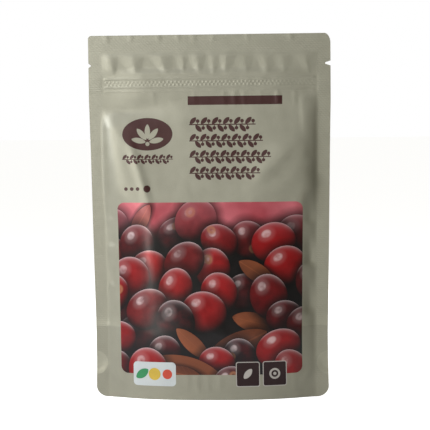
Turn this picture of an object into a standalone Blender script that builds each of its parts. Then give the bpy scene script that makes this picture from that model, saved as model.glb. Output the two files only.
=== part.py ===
"""A filled stand-up pouch with a press zip, with its top still heat sealed.

Units are metres, with +Z up. The origin is on the floor under the pouch's middle. The printed front faces -Y
and the width runs along X. The two big sheets and the gusset are cut flat, and then every point of the flat cut
is moved to where the filled pouch holds it.
"""
import math
import random

import bmesh
import bpy
from mathutils import Matrix, Vector

MM = 0.001

# The flat cut of the front and back sheets
WIDTH = 130 * MM
HEIGHT = 196 * MM
FILM = 0.2 * MM
SIDE_SEAL = 7 * MM
TOP_SEAL = 9 * MM
BOTTOM_CORNER = (7 * MM, 6 * MM)
TOP_LEFT_CORNER = (1.8 * MM, 1.8 * MM)
TOP_RIGHT_CORNER = (3.4 * MM, 5.4 * MM)
NOTCH_Z = 180 * MM
LEFT_NOTCH = (1.5 * MM, 1.2 * MM)
RIGHT_NOTCH = (2.9 * MM, 1.3 * MM)
NOTCH_TIP = 0.5 * MM

# How the filled pouch stands
FOOT_DEPTH = 11 * MM
FULLEST_DEPTH = 12.7 * MM
FULLEST_Z = 36 * MM
BELLY_TOP = 161 * MM
BELLY_TAPER = 0.6
BELLY_SQUARENESS = 2.5
SHOULDER_SQUARENESS = 8
EDGE_DRAW = 0.78

# Gaps and seals: two sheets lie GAP apart where they are welded
GAP = 0.3 * MM
TWO_LAYERS = GAP / 2 + FILM
FOUR_LAYERS = TWO_LAYERS + GAP + FILM

# The folded bottom sheet
GUSSET_DEPTH = 39 * MM
STEP_LOW = 3 * GAP
STEP_HIGH = 9 * GAP
BOTTOM_SEAL = 6 * MM
SEAL_CURVE = 4
SPOT_Z = 18.8 * MM
SPOT_RADIUS = 6.4 * MM
SPOT_EDGE = 1.2 * MM
CUT_OUT_RADIUS = 6.8 * MM
PANEL_SLACK = 0.985
LEAVES_FILM_AT = 1.3
MEETS_CREASE_AT = 0.7

# The press zip: half heights about its own middle, and distances from the pouch's middle plane
ZIP_Z = 170 * MM
ZIP_TAPE = 4.5 * MM
ZIP_HALF_LENGTH = 56 * MM
ZIP_BULGE = 1.15 * MM
ZIP_RAMP = 2.4 * MM
TAPE_FACE = 0.75 * MM
TAPE_BACK = 1.0 * MM
HEAD_HALF = 0.85 * MM
HEAD_TIP_HALF = 0.45 * MM
ARM_IN = HEAD_HALF + GAP
ARM_OUT = ARM_IN + 0.35 * MM

# The dried berries inside
FILL_TOP = 108 * MM
FILL_CROWN = 8 * MM
FILL_HALF_WIDTH = 46 * MM
FILL_STATIONS = 4
FILL_SINK = 2.2 * MM
FILL_CLEAR = 0.8 * MM
PANEL_CLEAR = 1.2 * MM
TROUGH = 1.0 * MM
BERRY = (6.0 * MM, 4.6 * MM, 3.6 * MM)
BERRY_GROWTH = (0.85, 1.1)
BERRY_TILT = 0.3
BERRY_ROOM = 10 * MM
BERRY_INSET = 2 * MM
BERRY_SPACING = 11.5 * MM
BERRY_TRIES = 900
SEED = 7

HALF = WIDTH / 2
BELLY_HALF = HALF - SIDE_SEAL

# How finely each form is cut
WIDTH_SHARES = (0.22, 0.43, 0.6, 0.75, 0.88, 1.0)
GUSSET_SHARES = (0.85, 0.7, 0.54, 0.38, 0.23, 0.1, 0.03)
SPOT_SHARES = (0.45, 0.8)
ARC_STEPS = 5
PANEL_STEPS = 24


def smooth(low, high, value):
    """Rise from 0 at low to 1 at high, with no kink at either end."""
    t = min(max((value - low) / (high - low), 0.0), 1.0)
    return t * t * (3.0 - 2.0 * t)


def middle_depth(z):
    """How far the contents push a film out at its middle, at height z."""
    if z <= FULLEST_Z:
        return FULLEST_DEPTH - (FULLEST_DEPTH - FOOT_DEPTH) * (1.0 - z / FULLEST_Z) ** 2
    t = min((z - FULLEST_Z) / (BELLY_TOP - FULLEST_Z), 1.0)
    return FULLEST_DEPTH * (1.0 - BELLY_TAPER * t) * math.sqrt(1.0 - t ** SHOULDER_SQUARENESS)


def belly(u, z):
    """How far the contents push a film out at flat width u and height z."""
    across = min(abs(u) / BELLY_HALF, 1.0)
    return middle_depth(z) * (1.0 - across ** BELLY_SQUARENESS)


def zip_bulge(u, z):
    """How far the closed zip holds a film out."""
    off = abs(z - ZIP_Z)
    along = 1.0 - smooth(ZIP_HALF_LENGTH + GAP, BELLY_HALF, abs(u))
    return ZIP_BULGE * along * (1.0 - smooth(ZIP_TAPE + GAP, ZIP_TAPE + GAP + ZIP_RAMP, off))


def film_depth(u, z):
    """Distance from the pouch's middle plane to a film's outer face."""
    extra = FOUR_LAYERS - TWO_LAYERS
    gusset_line = 1.0 - smooth(GUSSET_DEPTH + STEP_LOW, GUSSET_DEPTH + STEP_HIGH, z)
    from_spot = math.hypot(HALF - abs(u), z - SPOT_Z)
    outside_spot = smooth(SPOT_RADIUS - SPOT_EDGE, SPOT_RADIUS, from_spot)
    return TWO_LAYERS + extra * gusset_line * outside_spot + max(belly(u, z), zip_bulge(u, z))


def drawn_in(u, z):
    """Where flat width u ends up along X, since a belly draws the side edges in."""
    return u * (1.0 - EDGE_DRAW * middle_depth(z) ** 2 / (BELLY_HALF * HALF))


def laid_flat(x, z):
    """The flat width of a point that stands at x."""
    return x / drawn_in(1.0, z)


def seal_height(u):
    """How high above its bottom edge the gusset is welded to a film."""
    across = min(abs(u) / BELLY_HALF, 1.0)
    return BOTTOM_SEAL + (GUSSET_DEPTH - BOTTOM_SEAL) * across ** SEAL_CURVE


def panel_mid(u, z):
    """Distance from the middle plane to the middle of a welded gusset panel."""
    return film_depth(u, z) - FILM - GAP - FILM / 2


def crease_height(u):
    """Height of the gusset's centre crease, from the length of its free panel."""
    start = seal_height(u) + GAP
    free = GUSSET_DEPTH - seal_height(u)
    out = panel_mid(u, start) - panel_mid(HALF, 0.0)
    return start + PANEL_SLACK * math.sqrt(max(free * free - out * out, 0.0))


def free_panel(u, share):
    """A point of the unwelded panel, as (out, up), from its weld at share 0 to the crease at 1."""
    sealed = seal_height(u) + GAP
    start = Vector((panel_mid(u, sealed), sealed))
    end = Vector((panel_mid(HALF, 0.0), crease_height(u)))
    lean = math.atan2(start.x - end.x, end.y - start.y)
    third = (end - start).length / 3.0
    leaving = Vector((-math.sin(LEAVES_FILM_AT * lean), math.cos(LEAVES_FILM_AT * lean)))
    arriving = Vector((-math.sin(MEETS_CREASE_AT * lean), math.cos(MEETS_CREASE_AT * lean)))
    rest = 1.0 - share
    spot = rest ** 3 * start + 3 * share * rest ** 2 * (start + third * leaving)
    spot += 3 * share ** 2 * rest * (end - third * arriving) + share ** 3 * end
    return spot.x, spot.y


def gusset_place(u, w):
    """Where a point of the flat gusset stands: w is -GUSSET_DEPTH at the front edge and 0 at the crease."""
    side = -1.0 if w < 0 else 1.0
    up = GUSSET_DEPTH - abs(w)
    sealed = seal_height(u)
    tip = panel_mid(HALF, 0.0)
    if w == 0.0:
        z = crease_height(u) + GAP / 2
        return Vector((drawn_in(u, z), 0.0, z))
    if up <= sealed:
        z = up + GAP
        return Vector((drawn_in(u, z), side * panel_mid(u, z), z))
    out, z = free_panel(u, min((up - sealed) / max(GUSSET_DEPTH - tip - sealed, tip), 1.0))
    return Vector((drawn_in(u, z), side * out, z))


def arc(centre, radii, first, last, steps=ARC_STEPS):
    """Points along an ellipse's arc, with angles in degrees."""
    points = []
    for step in range(steps + 1):
        angle = math.radians(first + (last - first) * step / steps)
        points.append((centre[0] + radii[0] * math.cos(angle), centre[1] + radii[1] * math.sin(angle)))
    return points


def corner(u_side, v, radii, first):
    """A rounded corner of a flat cut, run anticlockwise from the angle first."""
    v_side = 1.0 if 0 < first < 180 or first == 0 else -1.0
    centre = (u_side * (HALF - radii[0]), v - v_side * radii[1])
    return arc(centre, radii, first, first + 90)


def sheet_outline():
    """The front and back sheets' flat cut, anticlockwise from the bottom left."""
    points = corner(-1, 0.0, BOTTOM_CORNER, 180)
    points += corner(1, 0.0, BOTTOM_CORNER, 270)
    points += [(HALF, NOTCH_Z - RIGHT_NOTCH[1])]
    points += arc((HALF - RIGHT_NOTCH[0] + NOTCH_TIP, NOTCH_Z), (NOTCH_TIP, NOTCH_TIP), 240, 120, 2)
    points += [(HALF, NOTCH_Z + RIGHT_NOTCH[1])]
    points += corner(1, HEIGHT, TOP_RIGHT_CORNER, 0)
    points += corner(-1, HEIGHT, TOP_LEFT_CORNER, 90)
    points += [(-HALF, NOTCH_Z + LEFT_NOTCH[1]), (-HALF + LEFT_NOTCH[0], NOTCH_Z)]
    points += [(-HALF, NOTCH_Z - LEFT_NOTCH[1])]
    return points


def gusset_outline():
    """The bottom sheet's flat cut, with a half-round cut-out for each welded spot."""
    from_crease = GUSSET_DEPTH - SPOT_Z + GAP
    radii = (CUT_OUT_RADIUS, CUT_OUT_RADIUS)
    points = corner(-1, -GUSSET_DEPTH, BOTTOM_CORNER, 180)
    points += corner(1, -GUSSET_DEPTH, BOTTOM_CORNER, 270)
    points += arc((HALF, -from_crease), radii, 270, 90, 2 * ARC_STEPS)
    points += arc((HALF, from_crease), radii, 270, 90, 2 * ARC_STEPS)
    points += corner(1, GUSSET_DEPTH, BOTTOM_CORNER, 0)
    points += corner(-1, GUSSET_DEPTH, BOTTOM_CORNER, 90)
    points += arc((-HALF, from_crease), radii, 90, -90, 2 * ARC_STEPS)
    points += arc((-HALF, -from_crease), radii, 90, -90, 2 * ARC_STEPS)
    return points


def width_lines():
    """Flat widths where a sheet is cut, closer together towards the seals."""
    right = [BELLY_HALF * share for share in WIDTH_SHARES]
    return [-u for u in reversed(right)] + [0.0] + right


def height_lines():
    """Heights where a sheet is cut: closer together up the shoulder, and at each seal and fold."""
    fold_top = GUSSET_DEPTH + STEP_HIGH
    belly_rise = BELLY_TOP - fold_top
    zip_edge = ZIP_TAPE + GAP
    lines = [FULLEST_Z / 3, FULLEST_Z * 2 / 3, GUSSET_DEPTH + STEP_LOW, fold_top]
    lines += [fold_top + belly_rise * math.sin(math.radians(angle)) for angle in range(9, 90, 9)]
    lines += [BELLY_TOP, ZIP_Z - zip_edge - ZIP_RAMP / 2, ZIP_Z - zip_edge, ZIP_Z]
    lines += [ZIP_Z + zip_edge, ZIP_Z + zip_edge + ZIP_RAMP, HEIGHT - TOP_SEAL]
    return lines


def cut(mesh, axis, place, keep=None):
    """Split a flat cut along one line, over the faces that keep accepts."""
    faces = [face for face in mesh.faces if keep is None or keep(face.calc_center_median())]
    edges = {edge for face in faces for edge in face.edges}
    verts = {vert for face in faces for vert in face.verts}
    normal = Vector((1, 0, 0)) if axis == "u" else Vector((0, 0, 1))
    geometry = list(verts) + list(edges) + faces
    bmesh.ops.bisect_plane(mesh, geom=geometry, dist=1e-6, plane_co=normal * place, plane_no=normal)


def flat_cut(outline, us, vs):
    """One flat sheet in the XZ plane, cut into cells along the lines us and vs."""
    mesh = bmesh.new()
    mesh.faces.new([mesh.verts.new((u, 0.0, v)) for u, v in outline])
    for u in us:
        cut(mesh, "u", u)
    for v in vs:
        cut(mesh, "v", v)
    return mesh


def beside_gusset(point):
    """Whether a point of a flat sheet is in a side seal where the half-round welded spots are."""
    return abs(point.x) > BELLY_HALF and point.z < GUSSET_DEPTH


def near_zip(point):
    """Whether a point of a flat sheet is beside the zip."""
    return abs(point.z - ZIP_Z) < ZIP_TAPE + ZIP_RAMP


def cut_finer(mesh):
    """Smaller cells round the welded spots and at the zip's two ends."""
    for side in (-1, 1):
        for share in SPOT_SHARES:
            cut(mesh, "u", side * (HALF - share * SPOT_RADIUS), beside_gusset)
        cut(mesh, "u", side * (ZIP_HALF_LENGTH + GAP), near_zip)
        for share in (0.0,) + SPOT_SHARES + (1.0,):
            cut(mesh, "v", SPOT_Z + side * share * SPOT_RADIUS, beside_gusset)


def as_object(name, mesh, parent, make_material):
    """Store a finished bmesh as a named object."""
    data = bpy.data.meshes.new(name)
    mesh.to_mesh(data)
    mesh.free()
    data.materials.append(make_material())
    thing = bpy.data.objects.new(name, data)
    thing.parent = parent
    bpy.context.scene.collection.objects.link(thing)
    return thing


def principled(name, colour, roughness, coat=0.0):
    """A Principled material of one plain finish."""
    material = bpy.data.materials.new(name)
    material.use_nodes = True
    shader = material.node_tree.nodes["Principled BSDF"]
    shader.inputs["Base Color"].default_value = (*colour, 1.0)
    shader.inputs["Roughness"].default_value = roughness
    shader.inputs["Metallic"].default_value = 0.0
    shader.inputs["Coat Weight"].default_value = coat
    return material


def taupe_film():
    """Satin grey-beige laminate."""
    return principled("taupe_film", (0.33, 0.30, 0.23), 0.38)


def inner_film():
    """The bottom sheet's laminate, a little darker where it faces the floor."""
    return principled("gusset_laminate", (0.30, 0.27, 0.21), 0.42)


def zip_plastic():
    """Milky polyethylene."""
    return principled("zip_plastic", (0.78, 0.78, 0.74), 0.35)


def dried_berry():
    """Dark red dried fruit with a sticky shine."""
    return principled("dried_berry", (0.16, 0.012, 0.014), 0.42, 0.2)


def make_sheet(name, side, parent):
    """The front sheet where side is -1, the back sheet where it is 1."""
    mesh = flat_cut(sheet_outline(), width_lines(), height_lines())
    cut_finer(mesh)
    bmesh.ops.triangulate(mesh, faces=mesh.faces[:], quad_method="SHORT_EDGE", ngon_method="BEAUTY")
    for vert in mesh.verts:
        u, z = vert.co.x, vert.co.z
        vert.co = (drawn_in(u, z), side * film_depth(u, z), z)
    grown = bmesh.ops.extrude_face_region(mesh, geom=mesh.faces[:], use_keep_orig=True)
    inner = [item for item in grown["geom"] if isinstance(item, bmesh.types.BMVert)]
    bmesh.ops.translate(mesh, verts=inner, vec=(0.0, -side * FILM, 0.0))
    bmesh.ops.recalc_face_normals(mesh, faces=mesh.faces[:])
    return as_object(name, mesh, parent, taupe_film)


def make_gusset(name, parent):
    """The bottom sheet, folded up between the two big ones."""
    rows = [share * GUSSET_DEPTH for share in GUSSET_SHARES] + [TWO_LAYERS]
    mesh = flat_cut(gusset_outline(), width_lines(), [-w for w in rows] + [0.0] + rows)
    bmesh.ops.triangulate(mesh, faces=mesh.faces[:], quad_method="SHORT_EDGE", ngon_method="BEAUTY")
    for vert in mesh.verts:
        vert.co = gusset_place(vert.co.x, vert.co.z)
    gusset = as_object(name, mesh, parent, inner_film)
    wall = gusset.modifiers.new("film", "SOLIDIFY")
    wall.thickness = FILM
    wall.offset = 0.0
    wall.use_even_offset = True
    return gusset


def make_strip(name, profile, parent):
    """A zip strip: a profile of (y, z) points run along X."""
    mesh = bmesh.new()
    face = mesh.faces.new([mesh.verts.new((-ZIP_HALF_LENGTH, y, z)) for y, z in profile])
    grown = bmesh.ops.extrude_face_region(mesh, geom=[face], use_keep_orig=True)
    far = [item for item in grown["geom"] if isinstance(item, bmesh.types.BMVert)]
    bmesh.ops.translate(mesh, verts=far, vec=(2 * ZIP_HALF_LENGTH, 0.0, 0.0))
    bmesh.ops.recalc_face_normals(mesh, faces=mesh.faces[:])
    strip = as_object(name, mesh, parent, zip_plastic)
    strip.location = (0.0, 0.0, ZIP_Z)
    return strip


def mirrored(half):
    """A closed profile from its upper half, mirrored below."""
    return half + [(y, -z) for y, z in reversed(half)]


def rib_profile():
    """Tape, stem and arrow head, with the head pointing to the front."""
    return mirrored([
        (TAPE_BACK, ZIP_TAPE), (TAPE_FACE, ZIP_TAPE), (TAPE_FACE, GAP),
        (-GAP / 2, GAP), (-GAP / 2, HEAD_HALF), (GAP - TAPE_FACE, HEAD_TIP_HALF),
    ])


def groove_profile():
    """Tape and two hooked arms that hold the arrow head."""
    return mirrored([
        (-TAPE_BACK, ZIP_TAPE), (-TAPE_FACE, ZIP_TAPE), (-TAPE_FACE, ARM_OUT),
        (TAPE_FACE - GAP, ARM_OUT), (GAP / 2, 2 * GAP), (GAP / 2, ARM_IN), (-TAPE_FACE, ARM_IN),
    ])


def fill_room(u, z):
    """Distance from the middle plane to a film's inner face."""
    return film_depth(u, z) - FILM


def roomy_share(u, needed):
    """How far up the free panel the film stands off it by at least the distance needed."""
    for step in range(PANEL_STEPS):
        out, up = free_panel(u, step / PANEL_STEPS)
        if fill_room(u, up) - out >= needed:
            return step / PANEL_STEPS
    return 1.0


def heap_height(u):
    """Height of the contents' top, a little lower towards the sides."""
    return FILL_TOP - FILL_CROWN * (u / BELLY_HALF) ** 2


def fill_loop(u):
    """One closed slice of the contents: up a wall, over the top and back under, flat below at the ends."""
    ridge = (0.0, crease_height(u) + FILL_SINK)
    first = roomy_share(u, FILL_SINK + PANEL_CLEAR + TROUGH)
    low = free_panel(u, first)[1]
    panel = [free_panel(u, 1.0 - (1.0 - first) * step / 3) for step in range(4)]
    under = [(out + PANEL_CLEAR, up) for out, up in panel]
    if abs(u) == FILL_HALF_WIDTH:
        low = ridge[1]
        under = [(step / 5 * (fill_room(u, low) - FILL_SINK), low) for step in range(1, 5)]
    high = heap_height(u)
    wall = [low + (high - low) * step / 5 for step in range(6)]
    side = under + [(fill_room(u, z) - FILL_SINK, z) for z in wall]
    top = (0.0, high + FILL_SINK)
    outline = [(-y, z) for y, z in side] + [top] + [(y, z) for y, z in reversed(side)] + [ridge]
    return [Vector((drawn_in(u, z), y, z)) for y, z in outline]


def fill_core():
    """The contents' body, which the berries stand out of."""
    mesh = bmesh.new()
    stations = [FILL_HALF_WIDTH * step / FILL_STATIONS for step in range(-FILL_STATIONS, FILL_STATIONS + 1)]
    loops = [[mesh.verts.new(point) for point in fill_loop(u)] for u in stations]
    for one, two in zip(loops, loops[1:]):
        for step in range(len(one)):
            after = (step + 1) % len(one)
            mesh.faces.new((one[step], one[after], two[after], two[step]))
    mesh.faces.new(loops[0])
    mesh.faces.new(loops[-1])
    bmesh.ops.triangulate(mesh, faces=mesh.faces[:], ngon_method="EAR_CLIP")
    bmesh.ops.recalc_face_normals(mesh, faces=mesh.faces[:])
    return mesh


def berry_mesh(rng):
    """A squashed dried berry, thin along Y, as a bmesh of 20 faces."""
    mesh = bmesh.new()
    bmesh.ops.create_icosphere(mesh, subdivisions=1, radius=1.0)
    grow = rng.uniform(*BERRY_GROWTH)
    size = Matrix.Diagonal((BERRY[0] * grow, BERRY[2] * grow, BERRY[1] * grow, 1.0))
    tilt = Matrix.Rotation(rng.uniform(-BERRY_TILT, BERRY_TILT), 4, "X")
    turn = Matrix.Rotation(rng.uniform(0.0, math.tau), 4, "Y") @ tilt
    bmesh.ops.transform(mesh, matrix=turn @ size, verts=mesh.verts[:])
    return mesh


def furthest(mesh, side, x, z):
    """How far a berry at x and z can go towards one film and stay FILL_CLEAR from it."""
    reach = []
    for vert in mesh.verts:
        height = z + vert.co.z
        reach.append(fill_room(laid_flat(x + vert.co.x, height), height) - FILL_CLEAR - side * vert.co.y)
    return side * min(reach)


def berry_places(rng):
    """Spots for berries: (side, x, z), where side 0 is the top of the heap."""
    places = []
    for _ in range(BERRY_TRIES):
        side = rng.choice((-1, 1, -1, 1, 0))
        u = rng.uniform(-1.0, 1.0) * (FILL_HALF_WIDTH - BERRY_INSET)
        low = free_panel(u, roomy_share(u, BERRY_ROOM))[1] + BERRY[0]
        high = heap_height(u)
        z = rng.uniform(low, high) if side else high
        x = drawn_in(u, z)
        crowded = any(
            side == other[0] and math.hypot(x - other[1], z - other[2]) < BERRY_SPACING for other in places
        )
        if not crowded:
            places.append((side, x, z))
    return places


def make_fill(name, parent):
    """The contents: a core with berries standing out of it, joined as one body."""
    rng = random.Random(SEED)
    fill = as_object(name, fill_core(), parent, dried_berry)
    group = bpy.data.collections.new("berries")
    bpy.context.scene.collection.children.link(group)
    for side, x, z in berry_places(rng):
        mesh = berry_mesh(rng)
        if side:
            spot = (x, furthest(mesh, side, x, z), z)
        else:
            z += FILL_SINK
            spot = (x, (furthest(mesh, 1, x, z) + furthest(mesh, -1, x, z)) / 2, z)
        data = bpy.data.meshes.new("berry")
        bmesh.ops.translate(mesh, verts=mesh.verts[:], vec=spot)
        mesh.to_mesh(data)
        mesh.free()
        group.objects.link(bpy.data.objects.new("berry", data))
    join = fill.modifiers.new("berries", "BOOLEAN")
    join.operation = "UNION"
    join.operand_type = "COLLECTION"
    join.collection = group
    join.solver = "MANIFOLD"
    joined = bpy.data.meshes.new_from_object(fill.evaluated_get(bpy.context.evaluated_depsgraph_get()))
    fill.modifiers.remove(join)
    fill.data = joined
    joined.name = name
    for berry in list(group.objects):
        bpy.data.objects.remove(berry)
    bpy.data.collections.remove(group)
    return fill


def main():
    for old in list(bpy.data.objects):
        bpy.data.objects.remove(old)
    pouch = bpy.data.objects.new("stand_up_pouch", None)
    bpy.context.scene.collection.objects.link(pouch)
    make_sheet("front_film", -1, pouch)
    make_sheet("back_film", 1, pouch)
    make_gusset("gusset_film", pouch)
    make_strip("zip_groove_strip", groove_profile(), pouch)
    make_strip("zip_rib_strip", rib_profile(), pouch)
    make_fill("cranberry_fill", pouch)


main()
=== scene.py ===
# %% [markdown]
# # A filled stand-up pouch with a press zip
#
# This lesson dresses a food pouch that was first built as plain solids. The real pouch is three sheets of
# plastic laminate: a front, a back and a folded bottom sheet called the gusset. They are welded to each
# other along their edges, with a press zip inside near the top, and dried berries fill the lower half.
#
# The plain solids come first. They are the fixed frame that everything here is measured from.

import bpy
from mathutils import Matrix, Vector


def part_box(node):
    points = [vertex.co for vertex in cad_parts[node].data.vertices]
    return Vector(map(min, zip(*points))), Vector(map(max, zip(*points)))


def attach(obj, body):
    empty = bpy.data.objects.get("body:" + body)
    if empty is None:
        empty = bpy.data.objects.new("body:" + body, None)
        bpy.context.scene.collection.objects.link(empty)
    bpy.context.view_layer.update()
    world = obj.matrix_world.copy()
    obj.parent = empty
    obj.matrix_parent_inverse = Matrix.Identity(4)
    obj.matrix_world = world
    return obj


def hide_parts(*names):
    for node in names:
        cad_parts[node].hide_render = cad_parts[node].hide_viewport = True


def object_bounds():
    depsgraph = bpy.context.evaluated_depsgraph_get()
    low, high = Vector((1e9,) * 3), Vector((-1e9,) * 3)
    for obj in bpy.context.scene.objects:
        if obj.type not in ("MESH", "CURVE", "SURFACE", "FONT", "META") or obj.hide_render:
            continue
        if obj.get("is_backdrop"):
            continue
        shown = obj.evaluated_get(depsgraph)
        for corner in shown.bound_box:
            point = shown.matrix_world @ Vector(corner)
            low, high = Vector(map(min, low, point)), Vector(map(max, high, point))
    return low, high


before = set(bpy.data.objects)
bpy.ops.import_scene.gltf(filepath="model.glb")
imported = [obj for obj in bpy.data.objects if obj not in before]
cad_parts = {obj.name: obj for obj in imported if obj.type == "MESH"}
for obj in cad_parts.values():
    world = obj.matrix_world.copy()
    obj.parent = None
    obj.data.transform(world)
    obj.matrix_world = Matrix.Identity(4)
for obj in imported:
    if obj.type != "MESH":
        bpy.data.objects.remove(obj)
cad_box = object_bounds()
print("solids in the frame:", sorted(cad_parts))

# %% Modules and the unit
import math
import random

import bmesh
import bpy
import numpy as np
from mathutils import Quaternion, Vector

MM = 0.001
print("Blender", bpy.app.version_string, "works in metres, so a millimetre is", MM)

# %% [markdown]
# ## The camera
#
# A camera is placed before anything is modelled. This one stands 0.8 m away with a long lens, looks
# slightly down, and has turned a few degrees to one side. The place is worked out from the direction it
# looks in, so that it always points at the middle of the pouch.

# %% Camera
LOOK_AT = Vector((0.0, 0.0, 98 * MM))
CAMERA_DISTANCE = 800 * MM
CAMERA_TURN = math.radians(-3.17)
CAMERA_DOWN = math.radians(4.37)
CAMERA_ROLL = math.radians(0.62)
IMAGE_SIDE = 430
FOCAL_PIXELS = 1480.4
CENTRE_PIXEL = (210.6, 216.9)
SENSOR = 36.0

looking = Vector((
    math.sin(CAMERA_TURN) * math.cos(CAMERA_DOWN),
    math.cos(CAMERA_TURN) * math.cos(CAMERA_DOWN),
    -math.sin(CAMERA_DOWN),
))
turn = looking.to_track_quat("-Z", "Y") @ Quaternion((0.0, 0.0, 1.0), -CAMERA_ROLL)
bpy.ops.object.camera_add(location=LOOK_AT - looking * CAMERA_DISTANCE, rotation=turn.to_euler())
camera = bpy.context.object
camera.name = "camera"
camera.data.sensor_width = SENSOR
camera.data.lens = FOCAL_PIXELS / IMAGE_SIDE * SENSOR
camera.data.shift_x = (IMAGE_SIDE / 2 - CENTRE_PIXEL[0]) / IMAGE_SIDE
camera.data.shift_y = (CENTRE_PIXEL[1] - IMAGE_SIDE / 2) / IMAGE_SIDE
bpy.context.scene.camera = camera
print("lens in mm:", round(camera.data.lens, 1))

# %% [markdown]
# ## Writing nodes as formulas
#
# Floor, sky and film all get their looks from nodes. A node could be added and linked by hand for each step
# of a sum, but that hides the sum. So a small class stands for a number in a node tree, and a sign beside it
# adds the right Math node. A formula in the code then reads as a formula, and is still plain nodes.

# %% Numbers in a node tree
def maths(tree, operation, *values):
    """One Math node's result."""
    return Number(tree, node(tree, "ShaderNodeMath", dict(enumerate(values)), operation=operation).outputs[0])


def math_node(operation):
    """A method that sends a number, and what stands beside it, through one Math node."""
    return lambda number, *others: maths(number.tree, operation, number, *others)


class Number:
    """A number that nodes work out: a sign such as + or < beside it adds the Math node for that sign."""

    def __init__(self, tree, socket):
        self.tree = tree
        self.socket = socket

    def __rsub__(self, other):
        return maths(self.tree, "SUBTRACT", other, self)

    __add__ = math_node("ADD")
    __sub__ = math_node("SUBTRACT")
    __mul__ = math_node("MULTIPLY")
    __truediv__ = math_node("DIVIDE")
    __pow__ = math_node("POWER")
    __lt__ = math_node("LESS_THAN")
    __gt__ = math_node("GREATER_THAN")
    __abs__ = math_node("ABSOLUTE")
    at_least = math_node("MAXIMUM")
    at_most = math_node("MINIMUM")


# %% Nodes, ranges and blends
def set_or_link(tree, socket, value):
    """Link an output socket or a Number to an input, or store a plain value in it."""
    if isinstance(value, Number):
        value = value.socket
    if isinstance(value, bpy.types.NodeSocket):
        tree.links.new(value, socket)
    else:
        socket.default_value = value


def node(tree, kind, inputs=None, **settings):
    """Add a node, change its settings, and fill or link its inputs by name or number."""
    made = tree.nodes.new(kind)
    for name, value in settings.items():
        setattr(made, name, value)
    for key, value in (inputs or {}).items():
        set_or_link(tree, made.inputs[key], value)
    return made


def remap(value, low, high, to_low=0.0, to_high=1.0, soft=False):
    """Move a number from one range to another, clamped at both ends."""
    made = node(
        value.tree, "ShaderNodeMapRange",
        {"Value": value, "From Min": low, "From Max": high, "To Min": to_low, "To Max": to_high},
        interpolation_type="SMOOTHSTEP" if soft else "LINEAR",
    )
    return Number(value.tree, made.outputs["Result"])


MIX_SOCKETS = {"FLOAT": (2, 0), "VECTOR": (4, 1), "RGBA": (6, 2)}


def mix(share, under, over, kind="RGBA"):
    """Blend two colours, two vectors or two numbers by a share from 0 to 1."""
    first, result = MIX_SOCKETS[kind]
    made = node(share.tree, "ShaderNodeMix", data_type=kind)
    for place, value in ((0, share), (first, under), (first + 1, over)):
        set_or_link(share.tree, made.inputs[place], value)
    return made.outputs[result]


# %% [markdown]
# ## Floor and light
#
# A product like this is shown on plain white under soft light. A big floor sheet takes the contact shadow.
# One square lamp stands close on the upper left, so the light fades from left to right across the film and
# every fold shows. A tall strip lamp stands further off on the same side and draws the long gloss down the
# belly. A weak lamp behind keeps the back from going dark, and a pale sky lights the rest. The camera sees
# floor and sky a little brighter than they light the pouch, because the two jobs need different strengths.

# %% Floor and sky
FLOOR_SIDE = 12.0
FLOOR_Z = -0.1 * MM
FLOOR_GREY = (0.85, 0.85, 0.85, 1.0)
FLOOR_ROUGHNESS = 0.8
SKY_SEEN = 1.0
SKY_LIGHT = 0.17
FLOOR_SEEN = 0.84
WHITE_LIGHT = (1.0, 1.0, 1.0, 1.0)
WARM_LIGHT = (1.0, 0.97, 0.84, 1.0)

bpy.ops.object.select_all(action="DESELECT")
bpy.ops.mesh.primitive_plane_add(size=FLOOR_SIDE, location=(0.0, 0.0, FLOOR_Z))
floor = bpy.context.object
floor.name = "floor"
white = bpy.data.materials.new("white_floor")
white.use_nodes = True
tree = white.node_tree
shader = tree.nodes["Principled BSDF"]
shader.inputs["Base Color"].default_value = FLOOR_GREY
shader.inputs["Roughness"].default_value = FLOOR_ROUGHNESS
shader.inputs["Emission Color"].default_value = WHITE_LIGHT
seen = Number(tree, node(tree, "ShaderNodeLightPath").outputs["Is Camera Ray"])
set_or_link(tree, shader.inputs["Emission Strength"], remap(seen, 0.0, 1.0, 0.0, FLOOR_SEEN))
floor.data.materials.append(white)
floor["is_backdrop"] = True

sky = bpy.data.worlds.new("pale_sky")
bpy.context.scene.world = sky
sky.use_nodes = True
tree = sky.node_tree
seen = Number(tree, node(tree, "ShaderNodeLightPath").outputs["Is Camera Ray"])
backdrop = tree.nodes["Background"]
set_or_link(tree, backdrop.inputs["Strength"], remap(seen, 0.0, 1.0, SKY_LIGHT, SKY_SEEN))
set_or_link(tree, backdrop.inputs["Color"], mix(seen, WARM_LIGHT, WHITE_LIGHT))
bpy.context.scene.view_settings.view_transform = "Standard"
print("floor and sky made of", len(white.node_tree.nodes) + len(tree.nodes), "nodes")

# %% Lamps
COOL_LAMP = (0.97, 1.0, 1.10)
WARM_LAMP = (1.0, 0.985, 0.92)
LAMPS = (
    ("left_lamp", (-0.35, -0.24, 0.37), (0.30, 0.30), 2.7, COOL_LAMP),
    ("strip_lamp", (-0.40, -0.82, 0.24), (0.16, 0.60), 2.9, WARM_LAMP),
    ("back_lamp", (0.30, 0.50, 0.30), (0.30, 0.40), 1.8, WARM_LAMP),
)


def soft_lamp(name, place, size, watts, colour):
    """A panel lamp, as wide and tall as size says, that points at the pouch."""
    towards = (LOOK_AT - Vector(place)).to_track_quat("-Z", "Y")
    bpy.ops.object.light_add(type="AREA", location=place, rotation=towards.to_euler())
    lamp = bpy.context.object
    lamp.name = name
    lamp.data.shape = "RECTANGLE"
    lamp.data.size, lamp.data.size_y = size
    lamp.data.energy = watts
    lamp.data.color = colour


for lamp in LAMPS:
    soft_lamp(*lamp)

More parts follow.
